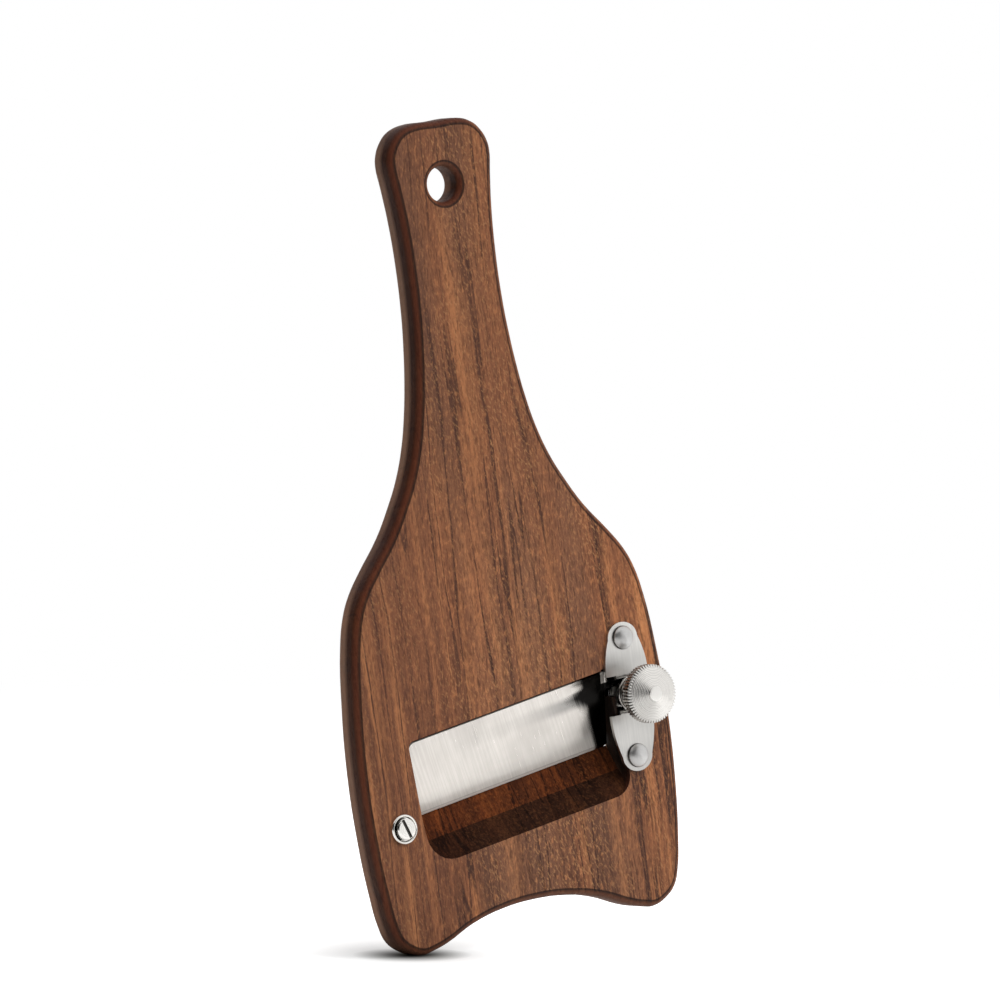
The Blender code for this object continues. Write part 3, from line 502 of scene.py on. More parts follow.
        # Painted shade in the hollow beside the blade's end, and on the front face behind the hub.
        beside = across.within(*self.hollow_across) * up.within(*self.hollow_up) * depth.rise(*self.hollow_front)
        behind_hub = across.rise(*self.hub_across) * abs(up - self.hub_height).rise(*self.hub_reach)
        recess_shade_mask = abs(outward).rise(0.98, 0.90).larger(depth.rise(*self.face_edge)).larger(behind_hub)
        return graph.layers(
            colour, (abs(outward).rise(0.9995, 0.985) * 0.92, grained), (beside * recess_shade_mask * 0.94, self.hollow)
        )


@dataclass(frozen=True)
class BrushedSteelFinish:
    """Ground sheet steel: fine lines one way, soft smudges and slanting scratches.

    Attributes:
        name: The material's name.
        bright, dull: The steel's colour, and that of its lines and smudges.
        way: Which way the lines run.
        smooth_roughness, line_depth: Roughness between the lines, and their depth.
        dim_grey, shadow: A darker grey for the blade's band and the bracket's painted reflection and shade, and the
            darkest steel, which the painted shade and reflections use.
        fine, coarse, smudges: The fine and the coarse lines, and the smudges.
        scratches: Noise whose middle level draws the scratches.
    """

    name: str
    bright: Colour
    dull: Colour
    way: Brushing
    smooth_roughness: float
    line_depth: float
    dim_grey: Colour = tone(150, 148, 145)
    shadow: Colour = tone(14, 13, 12)
    fine: Pattern = Pattern((4200, 60, 90), 3, 0.7)
    coarse: Pattern = Pattern((1700, 30, 40), 3, 0.6)
    smudges: Pattern = Pattern((60, 60, 45), 3, 0.6, shift=(0.2, 0.1, 0.3))
    scratches: Pattern = Pattern((260, 260, 900), turn=34)

    def material(self) -> bpy.types.Material:
        """Builds the brushed steel."""
        graph = Graph(bpy.data.materials.new(self.name))
        place = graph.place()
        fine, coarse = (graph.noise(place, replace(lines, turn=self.way.value)) for lines in (self.fine, self.coarse))
        smudge = graph.noise(place, self.smudges)
        scratch = abs(graph.noise(place, self.scratches) - 0.5).rise(0.030, 0.0)
        colour = graph.layers(
            self.bright,
            (smudge.rise(0.36, 0.70) * 0.6, self.dull),
            (coarse.rise(0.60, 0.40) * 0.34, self.dull),
            (fine.rise(0.60, 0.34) * 0.22 + scratch * 0.06, self.dull),
        )
        uneven = (fine - 0.5) * 0.5 + (coarse - 0.5) * 0.8
        colour, metal = self.marked(graph, colour, uneven, smudge)
        rough = self.smooth_roughness + (fine - 0.5) * 0.14 + smudge * 0.05
        relief = graph.bump(fine + coarse * 0.3, self.line_depth, 0.8)
        return graph.surface({"Base Color": colour, "Roughness": rough, "Metallic": metal, "Normal": relief})

    def marked(self, graph: Graph, colour: Socket, uneven: Value, smudge: Value) -> tuple[Socket, Value | float]:
        """Adds the marks, painted shade and painted reflections that one piece has.

        Args:
            graph: The material's nodes.
            colour: The brushed steel.
            uneven: The lines, about 0 on average, to break up a mark's outline.
            smudge: The smudges.

        Returns:
            The colour with its marks, and how metallic it is.
        """
        return (colour, 1.0)


@dataclass(frozen=True)
class BladeSteelFinish(BrushedSteelFinish):
    """The blade's steel: ground bright along its edge, dull in a band, with a painted dark reflection at its free end.

    Heights are above the cutting edge; lengths run along it, to the right of the paddle's middle.

    Attributes:
        ground, ground_top: The ground strip's colour, and the heights over which it ends.
        border: Heights of the dark line above it.
        clean: Heights over which the steel beside the edge turns greyer, downwards.
        band: Heights of the dull band.
        band_faint, band_strong: Lengths over which it comes in faintly, then strongly.
        reflection_start, reflection_tip_height, reflection_fade: Length and height of the tip of the painted dark
        reflection, and how softly it comes in.
        strip_start, strip_fade: How much further along the narrow painted dark strip of reflection starts, and how
            softly.
        streak, streak_end: Heights of the painted bright streak inside the dark reflection, and the lengths over which
            it ends.
        corner: Heights, then lengths, from which the upper corner is free of the painted dark reflection.
    """

    ground: Colour = tone(232, 228, 221)
    ground_top: Span = (0.00085, 0.00070)
    border: Window = (0.00075, 0.00090, 0.00100, 0.00120)
    clean: Span = (0.0070, 0.0010)
    band: Window = (0.0122, 0.0143, 0.0156, 0.0176)
    band_faint: Span = (-0.0260, 0.0200)
    band_strong: Span = (0.0085, 0.0215)
    # Where the painted dark reflection of the knob and bracket lies at the free end.
    reflection_start: float = 0.0209
    reflection_tip_height: float = 0.0156
    reflection_fade: float = 0.0056
    strip_start: float = 0.0079
    strip_fade: float = 0.0018
    streak: Window = (0.0168, 0.0179, 0.0183, 0.0193)
    streak_end: Span = (0.0285, 0.0230)
    corner: tuple[Span, Span] = ((0.0170, 0.0174), (0.0312, 0.0316))

    def marked(self, graph: Graph, colour: Socket, uneven: Value, smudge: Value) -> tuple[Socket, Value]:
        """Adds the ground strip, the band and the painted dark reflection; the arguments are the base class's."""
        across, _, up = graph.parts(graph.place())
        above = (up - EDGE_LINE) * cos(EDGE_LEAN) - across * sin(EDGE_LEAN)
        along = (up - EDGE_LINE) * sin(EDGE_LEAN) + across * cos(EDGE_LEAN)
        band = along.rise(*self.band_faint) * 0.26 + along.rise(*self.band_strong) * 0.60
        # Painted dark reflection of the knob and bracket at the free end, with a painted bright streak in it and a
        # clean upper corner.
        below_tip = (above * -1 + self.reflection_tip_height).larger(0.0)
        tip = self.reflection_start + abs(above - self.reflection_tip_height) * 0.70 + below_tip * 0.60
        strip = self.reflection_start + self.strip_start - above * 0.20
        streak = above.within(*self.streak) * along.rise(*self.streak_end)
        stain_and_dark_reflection = ((along - tip) / self.reflection_fade + 0.46 + uneven * 0.9 - streak * 0.55).rise(0.0, 1.0)
        stain_and_dark_reflection = stain_and_dark_reflection.larger(((along - strip) / self.strip_fade + 0.5 + uneven * 0.6).rise(0.0, 1.0))
        corner_up, corner_along = self.corner
        stain_and_dark_reflection = stain_and_dark_reflection * (1 - above.rise(*corner_up) * along.rise(*corner_along))
        colour = graph.layers(
            colour,
            (above.rise(*self.ground_top), self.ground),
            (above.within(*self.border) * 0.30, self.shadow),
            (above.within(*self.band) * band, self.dim_grey),
            # Painted dark reflection at the free end.
            (stain_and_dark_reflection * 0.99, self.shadow),
        )
        return (colour, 0.66 + stain_and_dark_reflection * 0.34 - (above.rise(*self.clean) * 0.46) * (1 - stain_and_dark_reflection))


@dataclass(frozen=True)
class SheetSteelFinish(BrushedSteelFinish):
    """The bracket's steel, with a painted dark reflection of the knob about the spindle, and painted shade at its
    lower end and in its hollow.

    Attributes:
        hub_height: Height of the spindle.
        near: Distances from that height over which the painted reflection of the knob darkens the sheet.
        low: Heights below it over which painted shade darkens the lower end.
        recess_shade_mask: Depths over which painted shade darkens the sheet down in its hollow.
    """

    hub_height: float = 0.0
    near: Span = (0.0135, 0.0080)
    low: Span = (-0.0080, -0.0160)
    recess_shade_mask: Span = (-0.0044, -0.0032)

    def marked(self, graph: Graph, colour: Socket, uneven: Value, smudge: Value) -> tuple[Socket, float]:
        """Adds the painted reflection and shade about the spindle, and the painted shade in the hollow; the arguments
        are the base class's.
        """
        _, depth, up = graph.parts(graph.place())
        over_hub = up - self.hub_height
        # Painted dark reflection of the knob about the spindle, and painted shade at the lower end, broken up by the
        # smudges.
        painted_reflection_and_shade = (abs(over_hub).rise(*self.near) * 0.32 + over_hub.rise(*self.low) * 0.40) * (0.7 + smudge * 0.6)
        # Painted shade down in the hollow.
        return (graph.layers(colour, (painted_reflection_and_shade, self.dim_grey), (depth.rise(*self.recess_shade_mask) * 0.93, self.shadow)), 1.0)


@dataclass(frozen=True)
class TurnedSteelFinish:
    """Steel off the lathe: fine rings about the piece's axis.

    Attributes:
        name: The material's name.
        axis: Place of the lathe's axis, across and up.
        bright, dull: The steel's colour, and that of its duller rings.
        smooth_roughness: Roughness between the rings.
        ring_pitch, ring_depth: Distance from one cut to the next, and their depth.
        painted_recess_shade: Inner radius, outer radius and depth from which painted shade darkens a hollow, or None
            where there is none.
        painted_shade_share, painted_shade_tone: How strongly painted shade darkens the lower left of its face, and
            that shade's colour.
        shadow: The colour of the painted shade in a hollow.
        smudges: The smudges.
    """

    name: str
    axis: tuple[float, float]
    bright: Colour = tone(232, 229, 224)
    dull: Colour = tone(196, 193, 188)
    smooth_roughness: float = 0.22
    ring_pitch: float = 0.00050
    ring_depth: float = 0.000020
    painted_recess_shade: Triple | None = None
    painted_shade_share: float = 0.0
    painted_shade_tone: Colour = tone(104, 102, 99)
    shadow: Colour = tone(22, 21, 20)
    smudges: Pattern = Pattern((420, 420, 420), 3, 0.6)

    def material(self) -> bpy.types.Material:
        """Builds the turned steel."""
        graph = Graph(bpy.data.materials.new(self.name))
        place = graph.place()
        depth = graph.parts(place)[1]
        spoke = graph.mapped(place, Pattern((1, 0, 1), shift=(self.axis[0], 0.0, self.axis[1])))
        aside, _, aloft = graph.parts(spoke)
        radius = graph.length(spoke)
        path = (radius + depth * 0.7) * (1 / self.ring_pitch)
        cuts = graph.line_noise(path * 3, 1, 0.5)
        rings = (path * (2 * pi)).sine() * 0.5 + 0.5
        smudge = graph.noise(place, self.smudges)
        # Painted shade over the lower left of the face, away from the light.
        shaded_side = (aside * -0.85 - aloft * 0.53) / radius.larger(0.0004)
        colour = graph.layers(
            self.bright,
            (rings * 0.5 + cuts.rise(0.40, 0.65) * 0.3, self.dull),
            (smudge.rise(0.56, 0.78) * 0.4, self.dull),
            (shaded_side.rise(0.0, 1.0) * self.painted_shade_share, self.painted_shade_tone),
        )
        # Painted shade in a hollow: the knurl's grooves, a rivet's foot, the screw's slot.
        if self.painted_recess_shade is not None:
            inner, outer, low = self.painted_recess_shade
            recess_shade_mask = radius.within(inner, inner + 0.00015, outer - 0.00025, outer) * depth.rise(low, low + 0.00015)
            colour = graph.blend(recess_shade_mask * 0.92, colour, self.shadow)
        rough = self.smooth_roughness + (cuts - 0.5) * 0.12 + smudge * 0.08
        relief = graph.bump(rings + cuts * 0.4, self.ring_depth, 0.8)
        return graph.surface({"Base Color": colour, "Roughness": rough, "Metallic": 1.0, "Normal": relief})


@dataclass(frozen=True)
class PlainSteelFinish:
    """Zinc-dull fastener steel with brown handling marks.

    Attributes:
        name: The material's name.
        bright: The steel's colour.
        stain_and_dark_reflection: The colour of the old marks.
        smooth_roughness: Roughness of the clean metal.
        marks: The marks' shapes.
        grains: The zinc's grain.
    """

    name: str
    bright: Colour = tone(178, 176, 171)
    stain_and_dark_reflection: Colour = tone(104, 90, 76)
    smooth_roughness: float = 0.36
    marks: Pattern = Pattern((900, 900, 900), 4, 0.65)
    grains: Pattern = Pattern((4200, 4200, 4200), 2, 0.5)

    def material(self) -> bpy.types.Material:
        """Builds the plain steel."""
        graph = Graph(bpy.data.materials.new(self.name))
        marks, grains = (graph.noise(graph.place(), pattern) for pattern in (self.marks, self.grains))
        colour = graph.blend(marks.rise(0.55, 0.78) * 0.6, self.bright, self.stain_and_dark_reflection)
        rough = self.smooth_roughness + marks * 0.22 + (grains - 0.5) * 0.08
        relief = graph.bump(marks + grains * 0.5, 0.000012, 0.7)
        return graph.surface({"Base Color": colour, "Roughness": rough, "Metallic": 1.0, "Normal": relief})


Finish = WalnutFinish | BrushedSteelFinish | TurnedSteelFinish | PlainSteelFinish


def soft_shade(work: Mesh) -> None:
    """Shades faces smooth, and keeps their sharp edges sharp."""
    for face in work.faces:
        face.smooth = True
    for edge in work.edges:
        edge.smooth = len(edge.link_faces) == 2 and edge.calc_face_angle(0) < SHARP_ANGLE


def to_object(name: str, work: Mesh) -> Object:
    """Ends a bmesh as an object in the scene, at the origin.

    Args:
        name: The piece's name.
        work: The finished mesh, which is freed.

    Returns:
        The new object.
    """
    mesh = bpy.data.meshes.new(name)
    work.to_mesh(mesh)
    work.free()
    if "custom_normal" in mesh.attributes:
        mesh.attributes.remove(mesh.attributes["custom_normal"])
    made = bpy.data.objects.new(name, mesh)
    bpy.context.scene.collection.objects.link(made)
    return made


def dress(piece: Object, body: Body, slot: Slot, finishes: list[Finish], *nodes: str) -> None:
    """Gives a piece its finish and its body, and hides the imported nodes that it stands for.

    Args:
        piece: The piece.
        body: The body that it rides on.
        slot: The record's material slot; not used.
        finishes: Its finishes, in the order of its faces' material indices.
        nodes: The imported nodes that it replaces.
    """
    for finish in finishes:
        piece.data.materials.append(finish.material())
    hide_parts(*nodes)
    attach(piece, body.value)
    log.info("%s: %d faces on body %s", piece.name, len(piece.data.polygons), body.value)


def node_axis(node: str) -> tuple[float, float]:
    """Place across and up of the axis of a packed round node."""
    low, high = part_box(node)
    middle = (low + high) / 2
    return (middle.x, middle.z)


def node_reach(node: str) -> tuple[float, float]:
    """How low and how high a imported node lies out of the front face."""
    low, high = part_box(node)
    return (FRONT_FACE - high.y, FRONT_FACE - low.y)


def node_radius(node: str) -> float:
    """Half the width of a packed round node."""
    low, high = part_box(node)
    return (high.x - low.x) / 2


def dome(radius: float, foot: float, rise: float, steps: int = 12) -> Profile:
    """A dome's profile from its crown out to its foot.

    Args:
        radius: Radius at the foot.
        foot: Height of the foot.
        rise: Height of the crown above the foot.
        steps: Points along it.

    Returns:
        Pairs of radius and height.
    """
    angles = [pi / 2 * step / steps for step in range(steps + 1)]
    return [(radius * sin(angle), foot + rise * cos(angle)) for angle in angles]


@dataclass
class TurnedPiece:
    """A piece turned on a lathe, its axis square to the paddle's face.

    Attributes:
        name: The piece's name.
        axis: Place of its axis, across and up.
        profile: Pairs of radius and height out of the front face.
        arris: Width of its broken edges.
        steps: Facets round it.
        closed: Whether the profile comes back to its first point, as a ring's does.
    """

    name: str
    axis: tuple[float, float]
    profile: Profile
    arris: float = 0.00008
    steps: int = 96
    closed: bool = False

    def spun(self) -> Mesh:
        """Spins the profile about the upright axis, before its edges are broken."""
        work = bmesh.new()
        points = [work.verts.new((radius, 0, height)) for radius, height in self.profile]
        for first, second in zip(points, points[1:]):
            work.edges.new((first, second))
        if self.closed:
            work.edges.new((points[-1], points[0]))
        bmesh.ops.spin(
            work, geom=work.verts[:] + work.edges[:], cent=(0, 0, 0), axis=(0, 0, 1), dvec=(0, 0, 0),
            angle=2 * pi, steps=self.steps, use_merge=True, use_normal_flip=False, use_duplicate=False,
        )
        bmesh.ops.remove_doubles(work, verts=work.verts, dist=MERGE_DISTANCE)
        bmesh.ops.recalc_face_normals(work, faces=work.faces)
        return work

    def break_edges(self, work: Mesh) -> None:
        """Rounds the sharp rings of the spun mesh by the width of the arris."""
        sharp = [edge for edge in work.edges if edge.calc_face_angle(0) > SHARP_ANGLE]
        if sharp:
            bmesh.ops.bevel(
                work, geom=sharp, offset=self.arris, offset_type="OFFSET", segments=3, profile=0.5,
                affect="EDGES", material=-1, clamp_overlap=True,
            )

    def placed(self, work: Mesh) -> Object:
        """Shades the mesh and stands it on its axis against the front face."""
        soft_shade(work)
        stand = Matrix.Translation((self.axis[0], FRONT_FACE, self.axis[1])) @ Matrix.Rotation(pi / 2, 4, "X")
        bmesh.ops.transform(work, matrix=stand, verts=work.verts)
        return to_object(self.name, work)

    def build(self) -> Object:
        """Spins, softens and places the piece."""
        work = self.spun()
        self.break_edges(work)
        return self.placed(work)


def flat_ring(name: str, node: str, axis: tuple[float, float], bore: float) -> Object:
    """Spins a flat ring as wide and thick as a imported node.

    Args:
        name: The piece's name.
        node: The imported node.
        axis: Place of its axis, across and up.
        bore: Radius of its hole.

    Returns:
        The ring.
    """
    low, high = node_reach(node)
    outer = node_radius(node)
    profile = [(outer, high), (outer, low), (bore, low), (bore, high)]
    return TurnedPiece(name, axis, profile, closed=True).build()


@dataclass
class SoftenedCopy:
    """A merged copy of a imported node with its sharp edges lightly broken.

    Attributes:
        node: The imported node.
        name: The new piece's name.
        arris: Width of its broken edges.
        segments: Facets across each broken edge.
        seat: How much nearer the board the piece sits than its node.
    """

    node: str
    name: str
    arris: float
    segments: int = 2
    seat: float = 0.0

    def merged(self) -> Mesh:
        """The node's triangles joined up, with its flats as single faces."""
        work = bmesh.new()
        work.from_mesh(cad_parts[self.node].data)
        bmesh.ops.translate(work, verts=work.verts, vec=(0.0, self.seat, 0.0))
        bmesh.ops.remove_doubles(work, verts=work.verts, dist=MERGE_DISTANCE)
        bmesh.ops.dissolve_limit(
            work, angle_limit=radians(0.3), use_dissolve_boundaries=False, verts=work.verts, edges=work.edges,
            delimit=set(),
        )
        return work

    def build(self) -> Object:
        """Copies, shades and softens the node."""
        work = self.merged()
        soft_shade(work)
        made = to_object(self.name, work)
        self.soften(made)
        return made

    def soften(self, made: Object) -> None:
        """Adds the bevel that breaks the sharp edges."""
        bevel = made.modifiers.new("broken_edges", "BEVEL")
        bevel.width = self.arris
        bevel.segments = self.segments
        bevel.limit_method = "ANGLE"
        bevel.angle_limit = SHARP_ANGLE
        bevel.harden_normals = True
        bevel.use_clamp_overlap = True


@dataclass
class PaddleBoard:
    """The hardwood paddle: handle, shoulders, feet, throat and ramp.

    Attributes:
        window: Half the throat's width, with room to spare.
        ramp_low, ramp_crease: How far the ramp and its crease lie below the cutting edge's line.
        flattest, steepest: How far to the front the ramp's flattest and steepest parts face, as a normal's Y.
        upturn: How far up they face at least, as a normal's Z.
        arris: Width of the board's broken edges.
        margin: Width of the rim round the flat faces.
        outer_ramp, inner_ramp: Painted shade, roughness and gloss of the ramp's two halves.
    """

    window: float = 0.034
    ramp_low: float = 0.0125
    ramp_crease: float = 0.0062
    flattest: float = -0.985
    steepest: float = -0.3
    upturn: float = 0.1
    arris: float = 0.00022
    margin: float = 0.00035
    # The ramps' painted shade, over their darker cut.
    outer_ramp: tuple[Colour, float, float] = ((0.16, 0.14, 0.14, 1.0), 0.60, 0.04)
    inner_ramp: tuple[Colour, float, float] = ((0.37, 0.24, 0.16, 1.0), 0.60, 0.08)

    def ramp_index(self, face: bmesh.types.BMFace) -> int:
        """Which of the three woods a face gets: the board's, the outer ramp's or the inner ramp's."""
        middle = face.calc_center_median()
        up = middle.z - EDGE_LINE
        along = middle.x * cos(EDGE_LEAN) + up * sin(EDGE_LEAN)
        above = up * cos(EDGE_LEAN) - middle.x * sin(EDGE_LEAN)
        leaning = self.flattest < face.normal.y < self.steepest and face.normal.z > self.upturn
        inside = abs(along) < self.window and -self.ramp_low < above < self.ramp_low
        if not (leaning and inside):
            return 0
        return 1 if above < -self.ramp_crease else 2

    def rim_flats(self, work: Mesh) -> None:
        """Gives the two flat faces a narrow rim, so that the roundings' shading doesn't tilt theirs."""
        flats = [
            face for face in work.faces
            if all(abs(abs(vertex.co.y) + FRONT_FACE) < MERGE_DISTANCE for vertex in face.verts)
        ]
        bmesh.ops.inset_region(work, faces=flats, thickness=self.margin, use_even_offset=True, use_boundary=True)
        work.normal_update()

    def build(self) -> None:
        """Builds and dresses the paddle."""
        copy = SoftenedCopy("paddle_board", "paddle", self.arris)
        work = copy.merged()
        work.normal_update()
        self.rim_flats(work)
        for face in work.faces:
            face.material_index = self.ramp_index(face)
        soft_shade(work)
        for edge in work.edges:
            if len({face.material_index for face in edge.link_faces}) > 1:
                edge.smooth = False
        board = to_object(copy.name, work)
        copy.soften(board)
        woods = [WalnutFinish("oiled_walnut")] + [
            WalnutFinish(f"oiled_walnut_{name}_ramp", *look, rounded=False)
            for name, look in (("outer", self.outer_ramp), ("inner", self.inner_ramp))
        ]
        dress(board, Body.PADDLE, Slot.WOOD, woods, "paddle_board")


@dataclass
class ClampedBlade:
    """The blade whose tail is clamped in the kerf and whose right end rests on the spindle.

    Attributes:
        arris: Width of its broken edges.
        finish: Its steel.
    """

    arris: float = 0.00006
    finish: BladeSteelFinish = BladeSteelFinish(
        "brushed_blade_steel", tone(232, 227, 220), tone(192, 187, 181), Brushing.ACROSS_BLADE,
        0.22, 0.000006,
    )

    def build(self) -> None:
        """Builds and dresses the blade."""
        blade = SoftenedCopy("blade", "slicing_blade", self.arris).build()
        dress(blade, Body.BLADE, Slot.BLADE_STEEL, [self.finish], "blade")


@dataclass
class SpindleBracket:
    """The riveted sheet bracket that the spindle turns in.

    Attributes:
        sheet_arris: Width of the sheet's broken edges.
        shank_radius: The rivets' shank.
        head_radius, head_foot, head_rim, head_rise: Their domed head: radius, underside, upright rim and dome.
        tail_radius, tail_height: Their clenched tail.
        burr_bore: The burr's hole.
    """

    sheet_arris: float = 0.00012
    shank_radius: float = 0.0014
    head_radius: float = 0.0031
    head_foot: float = 0.0015
    head_rim: float = 0.0001
    head_rise: float = 0.0017
    tail_radius: float = 0.0020
    tail_height: float = 0.0005
    burr_bore: float = 0.0015

    def build(self) -> None:
        """Builds and dresses the bracket, its rivets and their burrs."""
        finish = SheetSteelFinish(
            "satin_sheet_steel", tone(226, 224, 220), tone(198, 196, 193), Brushing.UP_THE_SHEET,
            0.30, 0.000009, hub_height=node_axis("spindle")[1],
        )
        bracket = SoftenedCopy("bracket", "spindle_bracket", self.sheet_arris, seat=SEAT).build()
        dress(bracket, Body.PADDLE, Slot.SHEET_STEEL, [finish], "bracket")
        for end in ("upper", "lower"):
            self.build_rivet(end)
            self.build_burr(end)

    def build_rivet(self, end: str) -> None:
        """Builds one rivet from its crown to its clenched tail."""
        node = "rivet_" + end
        axis = node_axis(node)
        low, _ = node_reach(node)
        foot = self.head_foot - 2 * SEAT
        profile = dome(self.head_radius, foot + self.head_rim, self.head_rise) + [
            (self.head_radius, foot),
            (self.shank_radius, foot),
            (self.shank_radius, low + self.tail_height),
            (self.tail_radius, low + self.tail_height),
            (self.tail_radius, low),
            (0.0, low),
        ]
        rivet = TurnedPiece("domed_rivet_" + end, axis, profile).build()
        # The rivet gets a painted shadow round its foot and painted shade over its lower left.
        finish = TurnedSteelFinish(
            "polished_rivet_steel_" + end, axis, tone(214, 213, 211), tone(182, 181, 180), 0.38,
            0.0004, 0.000004, (0.0024, 0.0040, -0.0056), 0.22, shadow=tone(66, 64, 62),
        )
        dress(rivet, Body.PADDLE, Slot.TURNED_STEEL, [finish], node)

    def build_burr(self, end: str) -> None:
        """Builds the small washer under a rivet's tail."""
        node = "rivet_burr_" + end
        burr = flat_ring("rivet_washer_" + end, node, node_axis(node), self.burr_bore)
        dress(burr, Body.PADDLE, Slot.PLAIN_STEEL, [PlainSteelFinish("rivet_washer_steel_" + end)], node)


@dataclass
class AdjustingKnob:
    """The knurled knob on its spindle, with the washer under its hub and the ring on its neck.

    Attributes:
        teeth: Teeth of the straight knurl.
        tooth_shares: How much of the groove's depth each facet of one tooth has.
        tooth_depth: Depth of the grooves.
        rim_radius, rim_width, rim_chamfer: The toothed rim over its teeth, its thickness and small chamfers.
        cone_rise: How far the face rises to its middle.
        hub_radius, hub_length: The knob's hub.
        bore: The knob's bore.
        spindle_radius, tip_rise: The spindle's shank and domed tip.
        shoulder_radius, shoulder_low, shoulder_high: The spindle's shoulder, and the heights of its two faces.
        neck_radius, neck_low: The neck that carries the blade's finger, and where the thread starts under it.
        thread_pitch, thread_depth: The thread.
        spindle_arris: Width of the spindle's broken edges.
        ring_play: How much wider the ring's bore is than the neck.
        axis: Place of the knob's axis, across and up.
    """

    teeth: int = 56
    tooth_shares: tuple[float, ...] = (0.0, 0.0, 0.0, 0.45, 1.0, 0.45)
    tooth_depth: float = 0.00048
    rim_radius: float = 0.0076
    rim_width: float = 0.0030
    rim_chamfer: float = 0.0004
    cone_rise: float = 0.0014
    hub_radius: float = 0.0045
    hub_length: float = 0.0018
    bore: float = 0.00198
    spindle_radius: float = 0.00195
    tip_rise: float = 0.0002
    shoulder_radius: float = 0.0034
    shoulder_low: float = -0.00125
    shoulder_high: float = 0.0022
    neck_radius: float = 0.0024
    neck_low: float = -0.00345
    thread_pitch: float = 0.0007
    thread_depth: float = 0.00022
    spindle_arris: float = 0.00005
    ring_play: float = 0.0001
    axis: tuple[float, float] = field(default_factory=lambda: node_axis("spindle"))

    def build(self) -> None:
        """Builds and dresses the four pieces."""
        # The knob's face gets painted shade in the knurl's grooves and over its lower left.
        face = TurnedSteelFinish(
            "turned_knob_steel", self.axis, tone(248, 245, 240), tone(176, 173, 169),
            painted_recess_shade=(0.0066, 0.00740, -0.01503), painted_shade_share=0.42,
        )
        polished = TurnedSteelFinish(
            "turned_spindle_steel", self.axis, tone(240, 238, 234), tone(214, 211, 206), 0.30,
            0.0005, 0.000004,
        )
        dress(self.knob_head(), Body.KNOB, Slot.TURNED_STEEL, [face], "knob_head")
        dress(self.spindle(), Body.KNOB, Slot.TURNED_STEEL, [polished], "spindle")
        washer_steel = TurnedSteelFinish("turned_washer_steel", self.axis, smooth_roughness=0.18)
        for name, node, bore in (
            ("washer_under_hub", "hub_washer", self.bore),
            ("ring_on_neck", "retaining_ring", self.neck_radius + self.ring_play),
        ):
            ring = flat_ring(name, node, self.axis, bore)
            dress(ring, Body.CARRIAGE, Slot.TURNED_STEEL, [washer_steel], node)

    def knob_head(self) -> Object:
        """Spins the knob with its cone, rim, tapered back and hub, then cuts its teeth."""
        low, high = node_reach("knob_head")
        face = high - self.cone_rise
        back = face - self.rim_width
        rim = self.rim_radius
        root = rim - 2 * self.rim_chamfer
        profile = [
            (self.bore, high),
            (root - self.rim_chamfer, face + self.cone_rise * self.rim_chamfer / (rim - self.bore)),
            (root, face),
            (rim, face - self.rim_chamfer),
            (rim, back + self.rim_chamfer),
            (root, back),
            (self.hub_radius, low + self.hub_length),
            (self.hub_radius, low),
            (self.bore, low),
        ]
        knob = TurnedPiece("knurled_knob", self.axis, profile, steps=self.teeth * len(self.tooth_shares), closed=True)
        work = knob.spun()
        self.cut_teeth(work, root)
        return knob.placed(work)

    def cut_teeth(self, work: Mesh, root: float) -> None:
        """Draws the grooves of the knurl in towards the axis, one depth at a time.

        Args:
            work: The spun knob.
            root: Radius beyond which the rim is cut.
        """
        facets = self.teeth * len(self.tooth_shares)
        by_share: dict[float, list[bmesh.types.BMVert]] = {}
        for vertex in work.verts:
            if Vector(vertex.co.xy).length > root + MERGE_DISTANCE:
                turned = Vector((0, 1)).angle_signed(Vector(vertex.co.xy)) / (2 * pi) * facets
                share = self.tooth_shares[round(turned) % len(self.tooth_shares)]
                by_share.setdefault(share, []).append(vertex)
        for share, vertices in by_share.items():
            size = 1 - share * self.tooth_depth / self.rim_radius
            bmesh.ops.scale(work, vec=(size, size, 1), verts=vertices)

    def spindle(self) -> Object:
        """Spins the spindle with its shoulder, neck and threaded end."""
        low, high = node_reach("spindle")
        profile = dome(self.spindle_radius, high - self.tip_rise, self.tip_rise, 8) + [
            (self.spindle_radius, self.shoulder_high),
            (self.shoulder_radius, self.shoulder_high),
            (self.shoulder_radius, self.shoulder_low),
            (self.neck_radius, self.shoulder_low),
            (self.neck_radius, self.neck_low),
            (self.spindle_radius - self.thread_depth, self.neck_low),
        ]
        height = self.neck_low - self.thread_pitch / 2
        while height - self.thread_pitch > low:
            profile += [
                (self.spindle_radius, height),
                (self.spindle_radius - self.thread_depth, height - self.thread_pitch / 2),
            ]
            height -= self.thread_pitch
        profile += [(self.spindle_radius - self.thread_depth, low), (0.0, low)]
        return TurnedPiece("threaded_spindle", self.axis, profile, self.spindle_arris).build()


